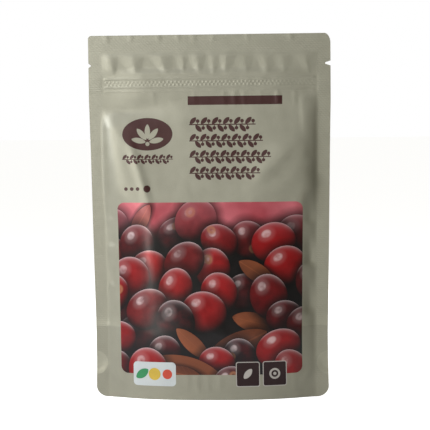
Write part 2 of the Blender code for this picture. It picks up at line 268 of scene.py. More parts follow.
# %% [markdown]
# ## The shape of a filled pouch
#
# Film bends easily and hardly stretches. So a pouch keeps its flat cut, and the contents only push the
# middle of each sheet out and draw the side edges in a little. That makes it simple to describe: give each
# point of the flat sheet a width u and a height z, and say how far the filled pouch holds it from the
# middle plane. These first functions repeat the rule that the solids were built by, and refine it above the
# contents, where the films close in like a wedge.

# %% Sizes of the flat cut and the seals
film_low, film_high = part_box("front_film")
zip_low, zip_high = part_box("zip_rib_strip")
HALF = film_high.x
HEIGHT = film_high.z
FILM = 0.2 * MM
GAP = 0.3 * MM
SIDE_SEAL = 7 * MM
TOP_SEAL = 9 * MM
BELLY_HALF = HALF - SIDE_SEAL
TWO_LAYERS = GAP / 2 + FILM
FOUR_LAYERS = TWO_LAYERS + GAP + FILM
GUSSET_DEPTH = 39 * MM
BOTTOM_SEAL = 6 * MM
SEAL_CURVE = 4
SPOT_Z = 18.8 * MM
SPOT_RADIUS = 6.4 * MM
SPOT_EDGE = 3.6 * MM
ZIP_Z = (zip_low.z + zip_high.z) / 2
ZIP_TAPE = (zip_high.z - zip_low.z) / 2
ZIP_HALF_LENGTH = zip_high.x
print(f"flat cut {2 * HALF / MM:.0f} x {HEIGHT / MM:.0f} mm, zip at {ZIP_Z / MM:.0f} mm")

# %% How far the contents push the film out
FOOT_DEPTH = 11 * MM
FULLEST_DEPTH = 12.5 * MM
FULLEST_Z = 36 * MM
BELLY_TOP = 161 * MM
BELLY_TAPER = 0.6
SHOULDER_SQUARENESS = 8
WEDGE_FROM = 106 * MM
WEDGE_SLOPE = 0.070
WEDGE_BEND = 8 * MM
WEDGE_ENDS = (158 * MM, 172 * MM)


def smooth(low, high, value):
    """Rise from 0 at low to 1 at high, with no kink at either end."""
    t = np.clip((value - low) / (high - low), 0.0, 1.0)
    return t * t * (3.0 - 2.0 * t)


def middle_depth(z):
    """How far the contents push a film out at its middle, at height z."""
    foot = FULLEST_DEPTH - (FULLEST_DEPTH - FOOT_DEPTH) * (1.0 - z / FULLEST_Z) ** 2
    t = np.clip((z - FULLEST_Z) / (BELLY_TOP - FULLEST_Z), 0.0, 1.0)
    body = FULLEST_DEPTH * (1.0 - BELLY_TAPER * t) * np.sqrt(1.0 - t ** SHOULDER_SQUARENESS)
    return np.where(z <= FULLEST_Z, foot, body)


def bulge_depth(z):
    """The same without its round shoulder: above the contents both films close in like a wedge."""
    taper = FULLEST_DEPTH * (1.0 - BELLY_TAPER * (z - FULLEST_Z) / (BELLY_TOP - FULLEST_Z))
    wedge = taper - WEDGE_SLOPE * WEDGE_BEND * np.logaddexp(0.0, (z - WEDGE_FROM) / WEDGE_BEND)
    upper = np.maximum(wedge, 0.0) * (1.0 - smooth(*WEDGE_ENDS, z))
    return np.where(z <= FULLEST_Z, middle_depth(z), upper)


print(f"the middle is {bulge_depth(FULLEST_Z) / MM:.1f} mm out at the fullest")
print(f"and {bulge_depth(WEDGE_FROM) / MM:.1f} mm out where the wedge begins")

# %% How the bulge runs out to the sides
# The higher a squareness, the flatter the middle and the steeper the flanks.
FOOT_SQUARENESS = 2.5
BODY_SQUARENESS = 3.4
UPPER_SQUARENESS = (24, 16)
UPPER_FROM = (92 * MM, 140 * MM)
KNEE = 0.05
FOOT_KNEE = 0.08
RIGHT_KNEE = 0.12
CORNER_UP = (146 * MM, 158 * MM)
CORNER_IN = (8 * MM, 50 * MM)


def belly(u, z):
    """How far the contents push a film out: a round foot, steep flanks, and a flat top left corner."""
    across = np.clip(np.abs(u) / BELLY_HALF, 0.0, 1.0)
    squareness = FOOT_SQUARENESS + (BODY_SQUARENESS - FOOT_SQUARENESS) * smooth(0.0, FULLEST_Z, z)
    upper = np.where(u < 0.0, *UPPER_SQUARENESS)
    squareness = squareness + (upper - BODY_SQUARENESS) * smooth(*UPPER_FROM, z)
    share = 1.0 - across ** squareness
    knee = KNEE + FOOT_KNEE * (1.0 - smooth(0.0, FULLEST_Z, z))
    knee = knee + RIGHT_KNEE * smooth(*UPPER_FROM, z) * (u > 0.0)
    share = share * (1.0 - np.exp(-share / knee))
    flat_corner = smooth(*CORNER_UP, z) * smooth(*CORNER_IN, -u)
    return bulge_depth(z) * share * (1.0 - flat_corner)


places = np.linspace(0.0, BELLY_HALF, 6)
print("bulge in mm from the middle to a side seal:", np.round(belly(places, FULLEST_Z) / MM, 1))

# %% What the zip and the gusset add
ZIP_BULGE = 1.15 * MM
ZIP_RAMP_ABOVE = 4 * MM
ZIP_RAMP_BELOW = 14 * MM
ZIP_CRUSHED_FROM = 34 * MM
GUSSET_STEP = (0.3 * MM, 5.0 * MM)
GUSSET_INNER_END = (-8.0 * MM, -1.0 * MM)
EDGE_DRAW = 0.78


def zip_bulge(u, z):
    """How far the closed zip holds a film out."""
    off = np.abs(z - ZIP_Z)
    along = 1.0 - smooth(ZIP_CRUSHED_FROM, BELLY_HALF, np.abs(u))
    ramp = np.where(z < ZIP_Z, ZIP_RAMP_BELOW, ZIP_RAMP_ABOVE)
    return ZIP_BULGE * along * (1.0 - smooth(0.0, 1.0, (off - ZIP_TAPE - GAP) / ramp))


def gusset_layers(u, z):
    """1 where the gusset lies between the films at the side seals, 0 above it and in the welded spots."""
    fall = (z - GUSSET_DEPTH - GUSSET_STEP[0]) / (GUSSET_STEP[1] - GUSSET_STEP[0])
    below = (1.0 - np.clip(fall, 0.0, 1.0)) ** 2
    from_spot = np.hypot(HALF - np.abs(u), z - SPOT_Z)
    beside = smooth(*GUSSET_INNER_END, np.abs(u) - BELLY_HALF)
    return below * beside * smooth(SPOT_RADIUS - SPOT_EDGE, SPOT_RADIUS, from_spot)


def film_depth(u, z):
    """Distance from the pouch's middle plane to a film's outer face, before any fold."""
    layers = TWO_LAYERS + (FOUR_LAYERS - TWO_LAYERS) * gusset_layers(u, z)
    return layers + np.cbrt(belly(u, z) ** 3 + zip_bulge(u, z) ** 3)


def drawn_in(u, z):
    """Where flat width u ends up along X."""
    return u * (1.0 - EDGE_DRAW * middle_depth(z) ** 2 / (BELLY_HALF * HALF))


def seal_height(u):
    """How high above its bottom edge the gusset is welded to a film."""
    across = np.clip(np.abs(u) / BELLY_HALF, 0.0, 1.0)
    return BOTTOM_SEAL + (GUSSET_DEPTH - BOTTOM_SEAL) * across ** SEAL_CURVE


print(f"deepest point {film_depth(0.0, FULLEST_Z) / MM:.1f} mm, box {film_low.y / MM:.1f} mm")

# %% [markdown]
# ## A flat sheet of film
#
# Each sheet starts as a flat grid, just as film starts flat on its roll. Its corners are rounded by a fan
# of straight cuts, and the tear notches are snipped out. The flat place of every point is then stored as a
# UV map, so that the print can be laid out in real millimetres before the sheet is bent.

# %% Start a sheet
CELL = 1.05 * MM


def start_sheet(name, low, high):
    """A flat grid in the XZ plane between the heights low and high, left in edit mode."""
    cells = (round(2 * HALF / CELL), round((high - low) / CELL / 2) * 2)
    bpy.ops.object.select_all(action="DESELECT")
    bpy.ops.mesh.primitive_grid_add(
        x_subdivisions=cells[0], y_subdivisions=cells[1], size=1.0,
        location=(0.0, 0.0, (low + high) / 2), rotation=(math.pi / 2, 0.0, 0.0),
    )
    sheet = bpy.context.object
    sheet.name = name
    sheet.data.name = name
    sheet.scale = (2 * HALF, high - low, 1.0)
    bpy.ops.object.transform_apply(location=True, rotation=True, scale=True)
    bpy.ops.object.mode_set(mode="EDIT")
    bpy.ops.mesh.select_mode(type="FACE")
    return sheet


print("cells across a sheet:", round(2 * HALF / CELL))

# %% Cut along lines and round the corners
CUT_TOLERANCE = 0.001 * MM
CORNER_CUTS = 7


def select_faces(accepts):
    """Select just those faces of the sheet being edited whose middle is accepted."""
    bpy.ops.mesh.select_all(action="DESELECT")
    data = bpy.context.object.data
    mesh = bmesh.from_edit_mesh(data)
    for face in mesh.faces:
        if accepts(face.calc_center_median()):
            face.select_set(True)
    bmesh.update_edit_mesh(data)


def cut_line(place, normal, clear=False):
    """Bisect what is selected along the line through place; clear drops what lies beyond it."""
    bpy.ops.mesh.bisect(
        plane_co=(place[0], 0.0, place[1]), plane_no=Vector((normal[0], 0.0, normal[1])).normalized(),
        clear_outer=clear, threshold=CUT_TOLERANCE,
    )


def round_corner(side, edge, radii, first):
    """Round one corner: each straight cut touches the curve and drops what is outside it."""
    upward = 1.0 if first < 180 else -1.0
    middle = (side * (HALF - radii[0]), edge - upward * radii[1])
    for step in range(CORNER_CUTS):
        angle = math.radians(first + 90 * (step + 0.5) / CORNER_CUTS)
        touch = (middle[0] + radii[0] * math.cos(angle), middle[1] + radii[1] * math.sin(angle))
        bpy.ops.mesh.select_all(action="SELECT")
        cut_line(touch, (math.cos(angle) / radii[0], math.sin(angle) / radii[1]), clear=True)


# %% Snip a shape out of an edge
def snip(points, side):
    """Cut a small convex shape out of the right edge, or of the left one where side is -1.

    The points run anticlockwise round it, as it would lie at the right edge.
    """
    if side < 0:
        points = [(-u, z) for u, z in reversed(points)]
    edges = list(zip(points, points[1:] + points[:1]))
    widths = [point[0] for point in points]
    heights = [point[1] for point in points]

    def near(middle):
        return (min(widths) - CELL < middle.x < max(widths) + CELL
                and min(heights) - CELL < middle.z < max(heights) + CELL)

    def inside(middle):
        return near(middle) and all(
            (b[0] - a[0]) * (middle.z - a[1]) > (b[1] - a[1]) * (middle.x - a[0]) for a, b in edges
        )

    for a, b in edges:
        select_faces(near)
        cut_line(a, (b[1] - a[1], a[0] - b[0]))
    select_faces(inside)
    bpy.ops.mesh.delete(type="FACE")


# %% Read, move and store points
def store_flat_places(sheet):
    """Keep each point's place on the flat cut in a UV map, as shares of its width and height."""
    bpy.ops.object.mode_set(mode="OBJECT")
    layer = sheet.data.uv_layers.new(name="flat_cut")
    points = read_points(sheet)
    corners = np.zeros(len(sheet.data.loops), np.int32)
    sheet.data.loops.foreach_get("vertex_index", corners)
    flat = np.stack((points[:, 0] / (2 * HALF) + 0.5, points[:, 2] / HEIGHT), axis=1)
    layer.data.foreach_set("uv", flat[corners].astype(np.float32).ravel())


def read_points(piece):
    """A piece's points as rows of x, y and z."""
    flat = np.zeros(len(piece.data.vertices) * 3)
    piece.data.vertices.foreach_get("co", flat)
    return flat.reshape(-1, 3)


def write_points(piece, points):
    """Move a piece's points."""
    piece.data.vertices.foreach_set("co", points.astype(np.float32).ravel())
    piece.data.update()


# %% Give a wall and finish
SHARP_FROM = math.radians(50)


def give_wall():
    """Copy the whole flat sheet a film's thickness behind itself and join the two round the edge."""
    bpy.ops.object.mode_set(mode="EDIT")
    bpy.ops.mesh.select_all(action="SELECT")
    bpy.ops.mesh.extrude_region_move(TRANSFORM_OT_translate={"value": (0.0, FILM, 0.0)})


def finish_mesh(piece):
    """Turn all faces outwards, shade the sheet smooth, and leave edit mode."""
    bpy.ops.object.mode_set(mode="EDIT")
    bpy.ops.mesh.select_all(action="SELECT")
    bpy.ops.mesh.normals_make_consistent(inside=False)
    bpy.ops.object.mode_set(mode="OBJECT")
    bpy.ops.object.shade_smooth_by_angle(angle=SHARP_FROM)
    size = [round(side / MM, 1) for side in piece.dimensions]
    print(f"{piece.name}: {len(piece.data.polygons)} faces, size in mm", size)


# %% [markdown]
# ## Folds in the film
#
# Folds are what make film look like film. Each one below is a small rule that adds to the depth: a flute is
# a pucker that is broad at a seal and runs out to a point, a ridge is a crease along a line with one flank
# steeper than the other, and a nick is a dent that cuts in sharply below and fades upwards. They are given
# in millimetres on the flat sheet. Moving the points by rules like these keeps every fold where it belongs
# and gives the same result each time, which a simulation of stiff laminate does not.

# %% Rules for single folds
CREASE_ROUND = 0.16
FLUTE_TOP_SPREAD = 1.4
FLUTE_NARROWING = 1.05
FLUTE_FADES = (0.3, 0.66)
NICK_WALL = 3.6
NICK_FOOT = 0.2
SWELL_WAVES = 6


def flute(u, z, middle, widths, height, top, tip, lean=0.0):
    """A pucker from its top down to its tip: widths are its left and right flank, and it leans sideways."""
    t = np.clip((top - z) / (top - tip), 0.0, 1.0)
    off = u - middle - lean * (t - 0.5)
    flank = np.where(off < 0.0, *widths) * (FLUTE_TOP_SPREAD - FLUTE_NARROWING * t)
    tent = 1.0 - np.sqrt((off / flank) ** 2 + CREASE_ROUND ** 2)
    tent = (tent + np.sqrt(tent ** 2 + CREASE_ROUND ** 2)) / 2.0
    return height * tent * smooth(0.0, FLUTE_FADES[0], t) * (1.0 - smooth(FLUTE_FADES[1], 1.0, t))


def ridge(u, z, start, end, height, widths, fade):
    """A crease from start to end: widths are how far it spreads to its left and its right."""
    run = (end[0] - start[0], end[1] - start[1])
    length = math.hypot(*run)
    t = ((u - start[0]) * run[0] + (z - start[1]) * run[1]) / length ** 2
    off = ((u - start[0]) * run[1] - (z - start[1]) * run[0]) / length
    width = np.where(off < 0.0, *widths)
    ends = smooth(-fade, fade, t) * (1.0 - smooth(1.0 - fade, 1.0 + fade, t))
    return height * ends * np.exp(-(off / width) ** 2)


def nick(u, z, side, low, tall, height, reach):
    """A dent in a flank beside a side seal: deepest at its low end, fading upwards and inwards."""
    t = np.clip((z - low) / tall, 0.0, 1.0)
    rise = smooth(0.0, NICK_FOOT, t) * (1.0 - smooth(NICK_FOOT, 1.0, t))
    inward = BELLY_HALF / MM - side * u
    return -height * rise * smooth(0.0, NICK_WALL, inward) * (1.0 - smooth(NICK_WALL, reach, inward))


def swell(u, z, seed, wave, height):
    """Soft uneven bulges, as over loose contents."""
    rng = random.Random(seed)
    total = 0.0
    for _ in range(SWELL_WAVES):
        angle = rng.uniform(0.0, math.tau)
        start = rng.uniform(0.0, math.tau)
        total = total + np.cos((u * math.cos(angle) + z * math.sin(angle)) * math.tau / wave + start)
    return height * total / SWELL_WAVES


# %% The header, between the zip and the top seal
HEADER_TOP = 187.0
HEADER_LOW = 174.6
HEADER_ENDS = (4.0, 2.0)
HEADER_SIDES = (54.0, 59.0)
HEADER_PUFF = 0.2
FLUTE_DEPTH = 0.52
FLUTE_TOPS = (0.5, 1.5)
FLUTE_TIPS = (1.0, 1.4)
# Each flute: its middle, the width of its left and its right flank, its share of the depth, and its lean.
FRONT_FLUTES = (
    (-52.4, 5.8, 3.4, 0.8, 1.8), (-40.4, 6.8, 5.4, 1.0, 2.4), (-24.8, 5.6, 6.4, 1.0, 4.0),
    (-13.9, 3.4, 2.2, 0.45, 0.4), (-6.0, 4.8, 4.0, 0.85, 1.4), (2.3, 3.0, 2.9, 0.5, 0.2),
    (9.2, 3.8, 4.8, 0.8, -1.4), (19.4, 6.2, 4.2, 0.6, 2.2), (30.6, 4.4, 5.0, 0.7, 0.8),
    (40.0, 4.8, 4.6, 0.6, 1.0), (52.4, 4.6, 2.6, 0.5, 3.0),
)
BACK_FLUTES = (
    (-50.0, 4.0, 3.0, 0.6, -1.0), (-37.0, 3.0, 5.0, 0.6, 1.5), (-25.0, 5.0, 4.0, 0.9, -2.0),
    (-12.5, 3.0, 4.0, 0.7, 0.5), (-3.0, 4.2, 3.0, 0.5, -1.2), (9.0, 3.0, 4.6, 0.8, 1.0),
    (18.5, 3.6, 3.2, 0.6, 2.0), (29.0, 5.0, 4.4, 0.9, -0.6), (42.0, 5.2, 4.0, 0.8, -2.4),
    (53.5, 3.4, 2.8, 0.5, 0.8),
)
EDGE_DENTS = (-55.0, -42.0, -27.0, -16.5, -8.0, 2.5, 21.0, 44.0)
EDGE_DENT = {"widths": (2.4, 1.8), "height": 0.25, "lean": 0.6}
EDGE_DENT_ENDS = {"top": HEIGHT / MM + 1.0, "tip": HEIGHT / MM - 4.5}


def header(u, z, flutes):
    """A little trapped air, and the puckers where the flat seal pulls on the film."""
    rise = smooth(HEADER_LOW, HEADER_LOW + HEADER_ENDS[0], z)
    rise = rise * (1.0 - smooth(HEADER_TOP - HEADER_ENDS[1], HEADER_TOP, z))
    sides = 1.0 - smooth(*HEADER_SIDES, np.abs(u))
    depth = HEADER_PUFF * rise * sides
    for middle, left, right, height, lean in flutes:
        top = HEADER_TOP + FLUTE_TOPS[0] - FLUTE_TOPS[1] * abs(math.sin(middle))
        tip = HEADER_LOW - FLUTE_TIPS[0] + FLUTE_TIPS[1] * abs(math.cos(2.0 * middle))
        depth = depth + flute(u, z, middle, (left, right), FLUTE_DEPTH * height, top, tip, lean) * sides
    for middle in EDGE_DENTS:
        depth = depth + flute(u, z, middle, **EDGE_DENT, **EDGE_DENT_ENDS)
    return depth


print("flutes:", len(FRONT_FLUTES), "on the front and", len(BACK_FLUTES), "on the back")

# %% The zip seen through the film
# Each track: its height, its width and how far it stands out. Each row of beads: its height and its shift.
TRACKS = ((172.7, 0.6, 0.2), (168.2, 0.5, 0.18), (165.9, 0.4, 0.1))
BEAD_ROWS = ((170.8, 0.0), (169.4, 0.5))
BEAD_PITCH = 4 * HALF / MM / round(2 * HALF / CELL)
BEAD_RADIUS = 0.6
BEAD_HEIGHT = 0.165
# How much weaker the beads get towards each side, and between which places.
BEADS_FADE_LEFT = (0.35, -48.0, -12.0)
BEADS_FADE_RIGHT = (0.5, 22.0, 50.0)
ZIP_ENDS = (55.5, 57.5)
CRUSHED_ENDS = (57.5, 59.0)
CRUSHED_BAND = (4.0, 5.2)
CRUSHED_PITCH = 1.2
CRUSHED_HEIGHT = 0.12


def zip_relief(u, z):
    """The two tracks as low ridges, the staggered beads between them, and the ends crushed in the seals."""
    inside = 1.0 - smooth(*ZIP_ENDS, np.abs(u))
    depth = 0.0
    for height, width, rise in TRACKS:
        depth = depth + rise * inside * np.exp(-((z - height) / width) ** 2)
    clear = 1.0 - BEADS_FADE_LEFT[0] * (1.0 - smooth(*BEADS_FADE_LEFT[1:], u))
    clear = clear - BEADS_FADE_RIGHT[0] * smooth(*BEADS_FADE_RIGHT[1:], u)
    for height, shift in BEAD_ROWS:
        along = (u / BEAD_PITCH + shift) % 1.0 - 0.5
        away = np.hypot(along * BEAD_PITCH, z - height) / BEAD_RADIUS
        depth = depth + BEAD_HEIGHT * clear * inside * np.clip(1.0 - away ** 2, 0.0, 1.0)
    off = z - ZIP_Z / MM
    crushed = smooth(*CRUSHED_ENDS, np.abs(u)) * (1.0 - smooth(*CRUSHED_BAND, np.abs(off)))
    return depth + CRUSHED_HEIGHT * crushed * (0.5 + 0.5 * np.cos(off * math.tau / CRUSHED_PITCH))


print(f"zip beads every {BEAD_PITCH:.2f} mm")

# %% Where the front and the back are creased
# Each ridge: its start, its end, its height, its left and right width, and how softly it ends.
FRONT_RIDGES = (
    ((-56.0, 151.5), (-43.0, 134.0), 0.2, (2.4, 6.0), 0.35),
    ((50.0, 163.0), (51.5, 145.0), 0.3, (3.4, 1.8), 0.3),
    ((-42.0, 136.0), (-33.0, 106.0), 0.6, (2.0, 2.8), 0.35),
    ((-35.0, 106.0), (-33.0, 50.0), 0.55, (7.0, 6.0), 0.4),
    ((26.0, 118.5), (45.0, 137.0), 0.9, (8.0, 4.0), 0.35),
    ((57.0, 118.0), (47.5, 102.0), 1.2, (2.4, 5.5), 0.25),
    ((12.0, 108.0), (40.0, 112.5), 0.2, (5.0, 2.5), 0.4),
    ((-55.6, 18.5), (-50.4, 8.0), 0.45, (1.6, 2.2), 0.3),
    ((57.0, 17.5), (49.4, 8.0), 0.45, (2.2, 1.6), 0.3),
    ((-58.6, 39.4), (-51.0, 39.2), 0.3, (1.0, 0.8), 0.3),
)
BACK_RIDGES = (
    ((56.5, 152.0), (40.0, 141.0), 0.9, (3.0, 2.2), 0.3),
    ((-56.8, 150.0), (-38.0, 128.0), 0.9, (2.4, 3.8), 0.3),
    ((-18.0, 156.0), (-6.0, 120.0), 0.6, (6.0, 4.0), 0.4),
    ((30.0, 112.0), (46.0, 90.0), 0.8, (5.0, 3.0), 0.3),
)
# Each family of ripples: the form that they share, and for each its middle and its height.
FRONT_RIPPLES = (
    ({"widths": (2.0, 1.6), "top": 167.0, "tip": 156.5, "lean": 0.6}, (
        (-30.0, 0.14), (-8.0, 0.1), (8.0, 0.14), (13.8, 0.2), (19.0, 0.16), (27.5, 0.14), (36.9, 0.3),
        (46.0, 0.24),
    )),
    ({"widths": (2.6, 2.2), "top": 16.0, "tip": 3.0, "lean": 0.5}, (
        (-13.0, 0.2), (-7.6, 0.34), (-1.6, 0.26), (5.0, 0.3), (-38.0, 0.2), (46.0, 0.24),
    )),
)
BACK_RIPPLES = (
    ({"widths": (1.8, 1.8), "top": 164.8, "tip": 158.5, "lean": -0.5}, (
        (-40.0, 0.3), (-21.0, 0.2), (8.0, 0.25), (33.0, 0.3),
    )),
)
# The nicks of each side: the side, how far they reach in, and for each its low end, its length and its depth.
FRONT_NICKS = (
    (1, 8.0, ((93.0, 20.0, 1.0), (70.0, 22.0, 1.9), (44.5, 24.0, 1.9), (128.0, 16.0, 0.4))),
    (-1, 6.5, ((96.0, 17.0, 0.75), (82.0, 15.0, 0.65), (60.0, 21.0, 1.0), (46.0, 15.0, 0.65))),
)
BACK_NICKS = (
    (1, 8.0, ((110.0, 20.0, 0.9), (78.0, 22.0, 1.2), (50.0, 18.0, 1.0))),
    (-1, 8.0, ((120.0, 22.0, 0.9), (88.0, 18.0, 1.3), (56.0, 22.0, 1.1))),
)
print("ridges:", len(FRONT_RIDGES), "on the front and", len(BACK_RIDGES), "on the back")

# %% Add the creases up
SHOULDER_CORNER = (-51.4, 149.4)
SHOULDER_RADIUS = 5.4
SHOULDER_WIDTH = 2.2
SHOULDER_HEIGHT = 0.18
SHOULDER_ENDS = ((-50.0, -16.0), (96.0, 124.0))


def shoulder(u, z):
    """The small step where the bulge begins, round the front's top left corner."""
    beyond = np.hypot(np.maximum(SHOULDER_CORNER[0] - u, 0.0), np.maximum(z - SHOULDER_CORNER[1], 0.0))
    fades = (1.0 - smooth(*SHOULDER_ENDS[0], u)) * smooth(*SHOULDER_ENDS[1], z)
    return SHOULDER_HEIGHT * smooth(0.0, SHOULDER_WIDTH, SHOULDER_RADIUS - beyond) * fades


def creases(u, z, ridges, ripples, nicks):
    """The creases of one sheet: long ridges, ripples beside the zip or the foot, and nicks at the seals."""
    depth = 0.0
    for start, end, height, widths, fade in ridges:
        depth = depth + ridge(u, z, start, end, height, widths, fade)
    for form, places in ripples:
        for middle, height in places:
            depth = depth + flute(u, z, middle, height=height, **form)
    for side, reach, places in nicks:
        for low, tall, height in places:
            depth = depth + nick(u, z, side, low, tall, height, reach)
    return depth


# %% All folds of one sheet
# Each swell: its seed, the length of its waves and its height. LUMPS has its seed in LUMP_SEEDS, by side.
SEAL_FADE = 9.0
BELLY_FADE = 4.0
LUMP_SEEDS = {-1: 5, 1: 6}
LUMPS = (34.0, 0.3)
SMALL_LUMPS = (8, 13.0, 0.06)
LUMPS_SUNK = 0.12
WAVES = ((9, 21.0, 0.05), (10, 8.0, 0.02))
GUSSET_FILL = 0.42
GUSSET_FILL_ENDS = (40.0, 84.0)


def relief(u, z, side):
    """The relief of the front where side is -1, of the back where it is 1, in metres of extra depth."""
    u_mm, z_mm = u / MM, z / MM
    if side < 0:
        folds = shoulder(u_mm, z_mm) + creases(u_mm, z_mm, FRONT_RIDGES, FRONT_RIPPLES, FRONT_NICKS)
        top = header(u_mm, z_mm, FRONT_FLUTES)
    else:
        folds = creases(u_mm, z_mm, BACK_RIDGES, BACK_RIPPLES, BACK_NICKS)
        top = header(u_mm, z_mm, BACK_FLUTES)
    on_belly = smooth(0.0, BELLY_FADE * MM, belly(u, z)) * smooth(0.0, SEAL_FADE * MM, z - seal_height(u))
    lumps = swell(u_mm, z_mm, LUMP_SEEDS[side], *LUMPS) + swell(u_mm, z_mm, *SMALL_LUMPS) - LUMPS_SUNK
    lumps = lumps + GUSSET_FILL * (1.0 - smooth(*GUSSET_FILL_ENDS, z_mm))
    waves = sum(swell(u_mm, z_mm, *wave) for wave in WAVES)
    return (folds + lumps * on_belly + waves + top + zip_relief(u_mm, z_mm)) * MM


across, up = np.meshgrid(np.arange(-HALF, HALF, CELL), np.arange(0.0, HEIGHT, CELL))
folds = relief(across, up, -1) / MM
print(f"the front's relief runs from {folds.min():.1f} to {folds.max():.1f} mm")

# %% [markdown]
# ## Front and back film
#
# Both sheets are cut alike. The band round the zip gets smaller cells first, because its beads are only a
# millimetre across. Where two sheets are welded, the film's inner face is moved in until it meets its
# neighbour, so that the lip looks like one solid weld from the side.

# %% Where the film's inner face lies
WELD_RAMP = (-0.5 * MM, 0.3 * MM)
NEARLY_TOUCHING = 0.01 * MM


def welded(u, z):
    """1 in the side, top and bottom seals, and 0 where the film is free."""
    sides = smooth(*WELD_RAMP, np.abs(u) - BELLY_HALF)
    top = smooth(*WELD_RAMP, z - (HEIGHT - TOP_SEAL))
    bottom = 1.0 - smooth(*WELD_RAMP, z - seal_height(u))
    return np.maximum(np.maximum(sides, top), bottom)


def inner_depth(u, z, outer):
    """Distance from the middle plane to the film's inner face."""
    layers = gusset_layers(u, z)
    weld_line = NEARLY_TOUCHING + layers * (FOUR_LAYERS - FILM - GAP + NEARLY_TOUCHING) + film_depth(u, z)
    weld_line = weld_line - TWO_LAYERS - layers * (FOUR_LAYERS - TWO_LAYERS)
    share = welded(u, z)
    return share * weld_line + (1.0 - share) * (outer - FILM)


seal_place = (HALF, HEIGHT / 2)
seal_inner = inner_depth(*seal_place, film_depth(*seal_place))
print(f"in a side seal the inner face is {seal_inner / MM:.2f} mm from the middle plane")

# %% Snip the tear notches
NOTCH_Z = 180 * MM
LEFT_NOTCH = (1.5 * MM, 1.2 * MM)
RIGHT_NOTCH = (2.9 * MM, 1.3 * MM)
NOTCH_TIP = 0.5 * MM
NOTCH_TIP_ARC = (120, 240, 4)


def arc(middle, radius, first, last, steps):
    """Points along a circle between two angles in degrees."""
    angles = [math.radians(first + (last - first) * step / steps) for step in range(steps + 1)]
    return [(middle[0] + radius * math.cos(a), middle[1] + radius * math.sin(a)) for a in angles]


def snip_notches():
    """A pointed tear notch on the left edge and a deeper one with a round tip on the right."""
    outside = HALF + CELL
    depth, half = LEFT_NOTCH
    wide = half * (1.0 + CELL / depth)
    snip([(outside, NOTCH_Z - wide), (outside, NOTCH_Z + wide), (HALF - depth, NOTCH_Z)], -1)
    depth, half = RIGHT_NOTCH
    tip = arc((HALF - depth + NOTCH_TIP, NOTCH_Z), NOTCH_TIP, *NOTCH_TIP_ARC)
    slope = (half - (tip[0][1] - NOTCH_Z)) / (HALF - tip[0][0])
    wide = half + slope * CELL
    snip([(outside, NOTCH_Z - wide), (outside, NOTCH_Z + wide)] + tip, 1)


print(f"the notches lie {(NOTCH_Z - ZIP_Z) / MM:.0f} mm above the zip")

# %% Cut and bend the front and the back
FLATTEST = 0.26 * MM
FINER_ROUND_ZIP = 1.5 * MM
BOTTOM_CORNER = (7 * MM, 6 * MM)
TOP_LEFT_CORNER = (1.8 * MM, 1.8 * MM)
TOP_RIGHT_CORNER = (3.4 * MM, 5.4 * MM)


def make_film(name, side):
    """The front sheet where side is -1, the back sheet where it is 1."""
    sheet = start_sheet(name, 0.0, HEIGHT)
    band = ZIP_TAPE + FINER_ROUND_ZIP
    select_faces(lambda middle: abs(middle.z - ZIP_Z) < band)
    bpy.ops.mesh.subdivide(number_cuts=2)
    select_faces(lambda middle: band < middle.z - ZIP_Z < HEADER_TOP * MM - ZIP_Z)
    bpy.ops.mesh.subdivide(number_cuts=1)
    snip_notches()
    round_corner(-1, 0.0, BOTTOM_CORNER, 180)
    round_corner(1, 0.0, BOTTOM_CORNER, 270)
    round_corner(1, HEIGHT, TOP_RIGHT_CORNER, 0)
    round_corner(-1, HEIGHT, TOP_LEFT_CORNER, 90)
    store_flat_places(sheet)
    give_wall()
    bpy.ops.object.mode_set(mode="OBJECT")
    points = read_points(sheet)
    u, back, z = points[:, 0], points[:, 1] > FILM / 2, points[:, 2]
    outer = np.maximum(film_depth(u, z) + relief(u, z, side), FLATTEST)
    depth = np.where(back, inner_depth(u, z, outer), outer)
    write_points(sheet, np.stack((drawn_in(u, z), side * depth, z), axis=1))
    finish_mesh(sheet)
    return sheet


front = make_film("front_sheet", -1)
back = make_film("back_sheet", 1)

# %% [markdown]
# ## The gusset
#
# The bottom sheet is folded in half and welded to both films. Its weld follows a curve: low in the middle,
# so the foot can open, and up to the fold at the sides. From below, the free part is an arch. Each point is
# moved along a smooth curve between the weld and the crease, so the arch meets the film at a soft angle.

# %% Where the gusset's points stand
PANEL_SLACK = 0.985
LEAVES_FILM_AT = 1.3
MEETS_CREASE_AT = 0.7


def panel_middle(u, z):
    """Distance from the middle plane to the middle of a welded gusset panel."""
    return film_depth(u, z) - FILM - GAP - FILM / 2


def crease_height(u):
    """Height of the gusset's centre crease."""
    start = seal_height(u) + GAP
    free = GUSSET_DEPTH - seal_height(u)
    out = panel_middle(u, start) - panel_middle(HALF, 0.0)
    return start + PANEL_SLACK * np.sqrt(np.maximum(free * free - out * out, 0.0))


def free_panel(u, share):
    """The unwelded panel as (out, up), from its weld at share 0 to the crease at 1."""
    sealed = seal_height(u) + GAP
    start = np.stack((panel_middle(u, sealed), sealed))
    end = np.stack((np.full_like(u, panel_middle(HALF, 0.0)), crease_height(u)))
    lean = np.arctan2(start[0] - end[0], end[1] - start[1])
    third = np.hypot(*(end - start)) / 3.0
    leaving = np.stack((-np.sin(LEAVES_FILM_AT * lean), np.cos(LEAVES_FILM_AT * lean)))
    arriving = np.stack((-np.sin(MEETS_CREASE_AT * lean), np.cos(MEETS_CREASE_AT * lean)))
    rest = 1.0 - share
    return (rest ** 3 * start + 3 * share * rest ** 2 * (start + third * leaving)
            + 3 * share ** 2 * rest * (end - third * arriving) + share ** 3 * end)


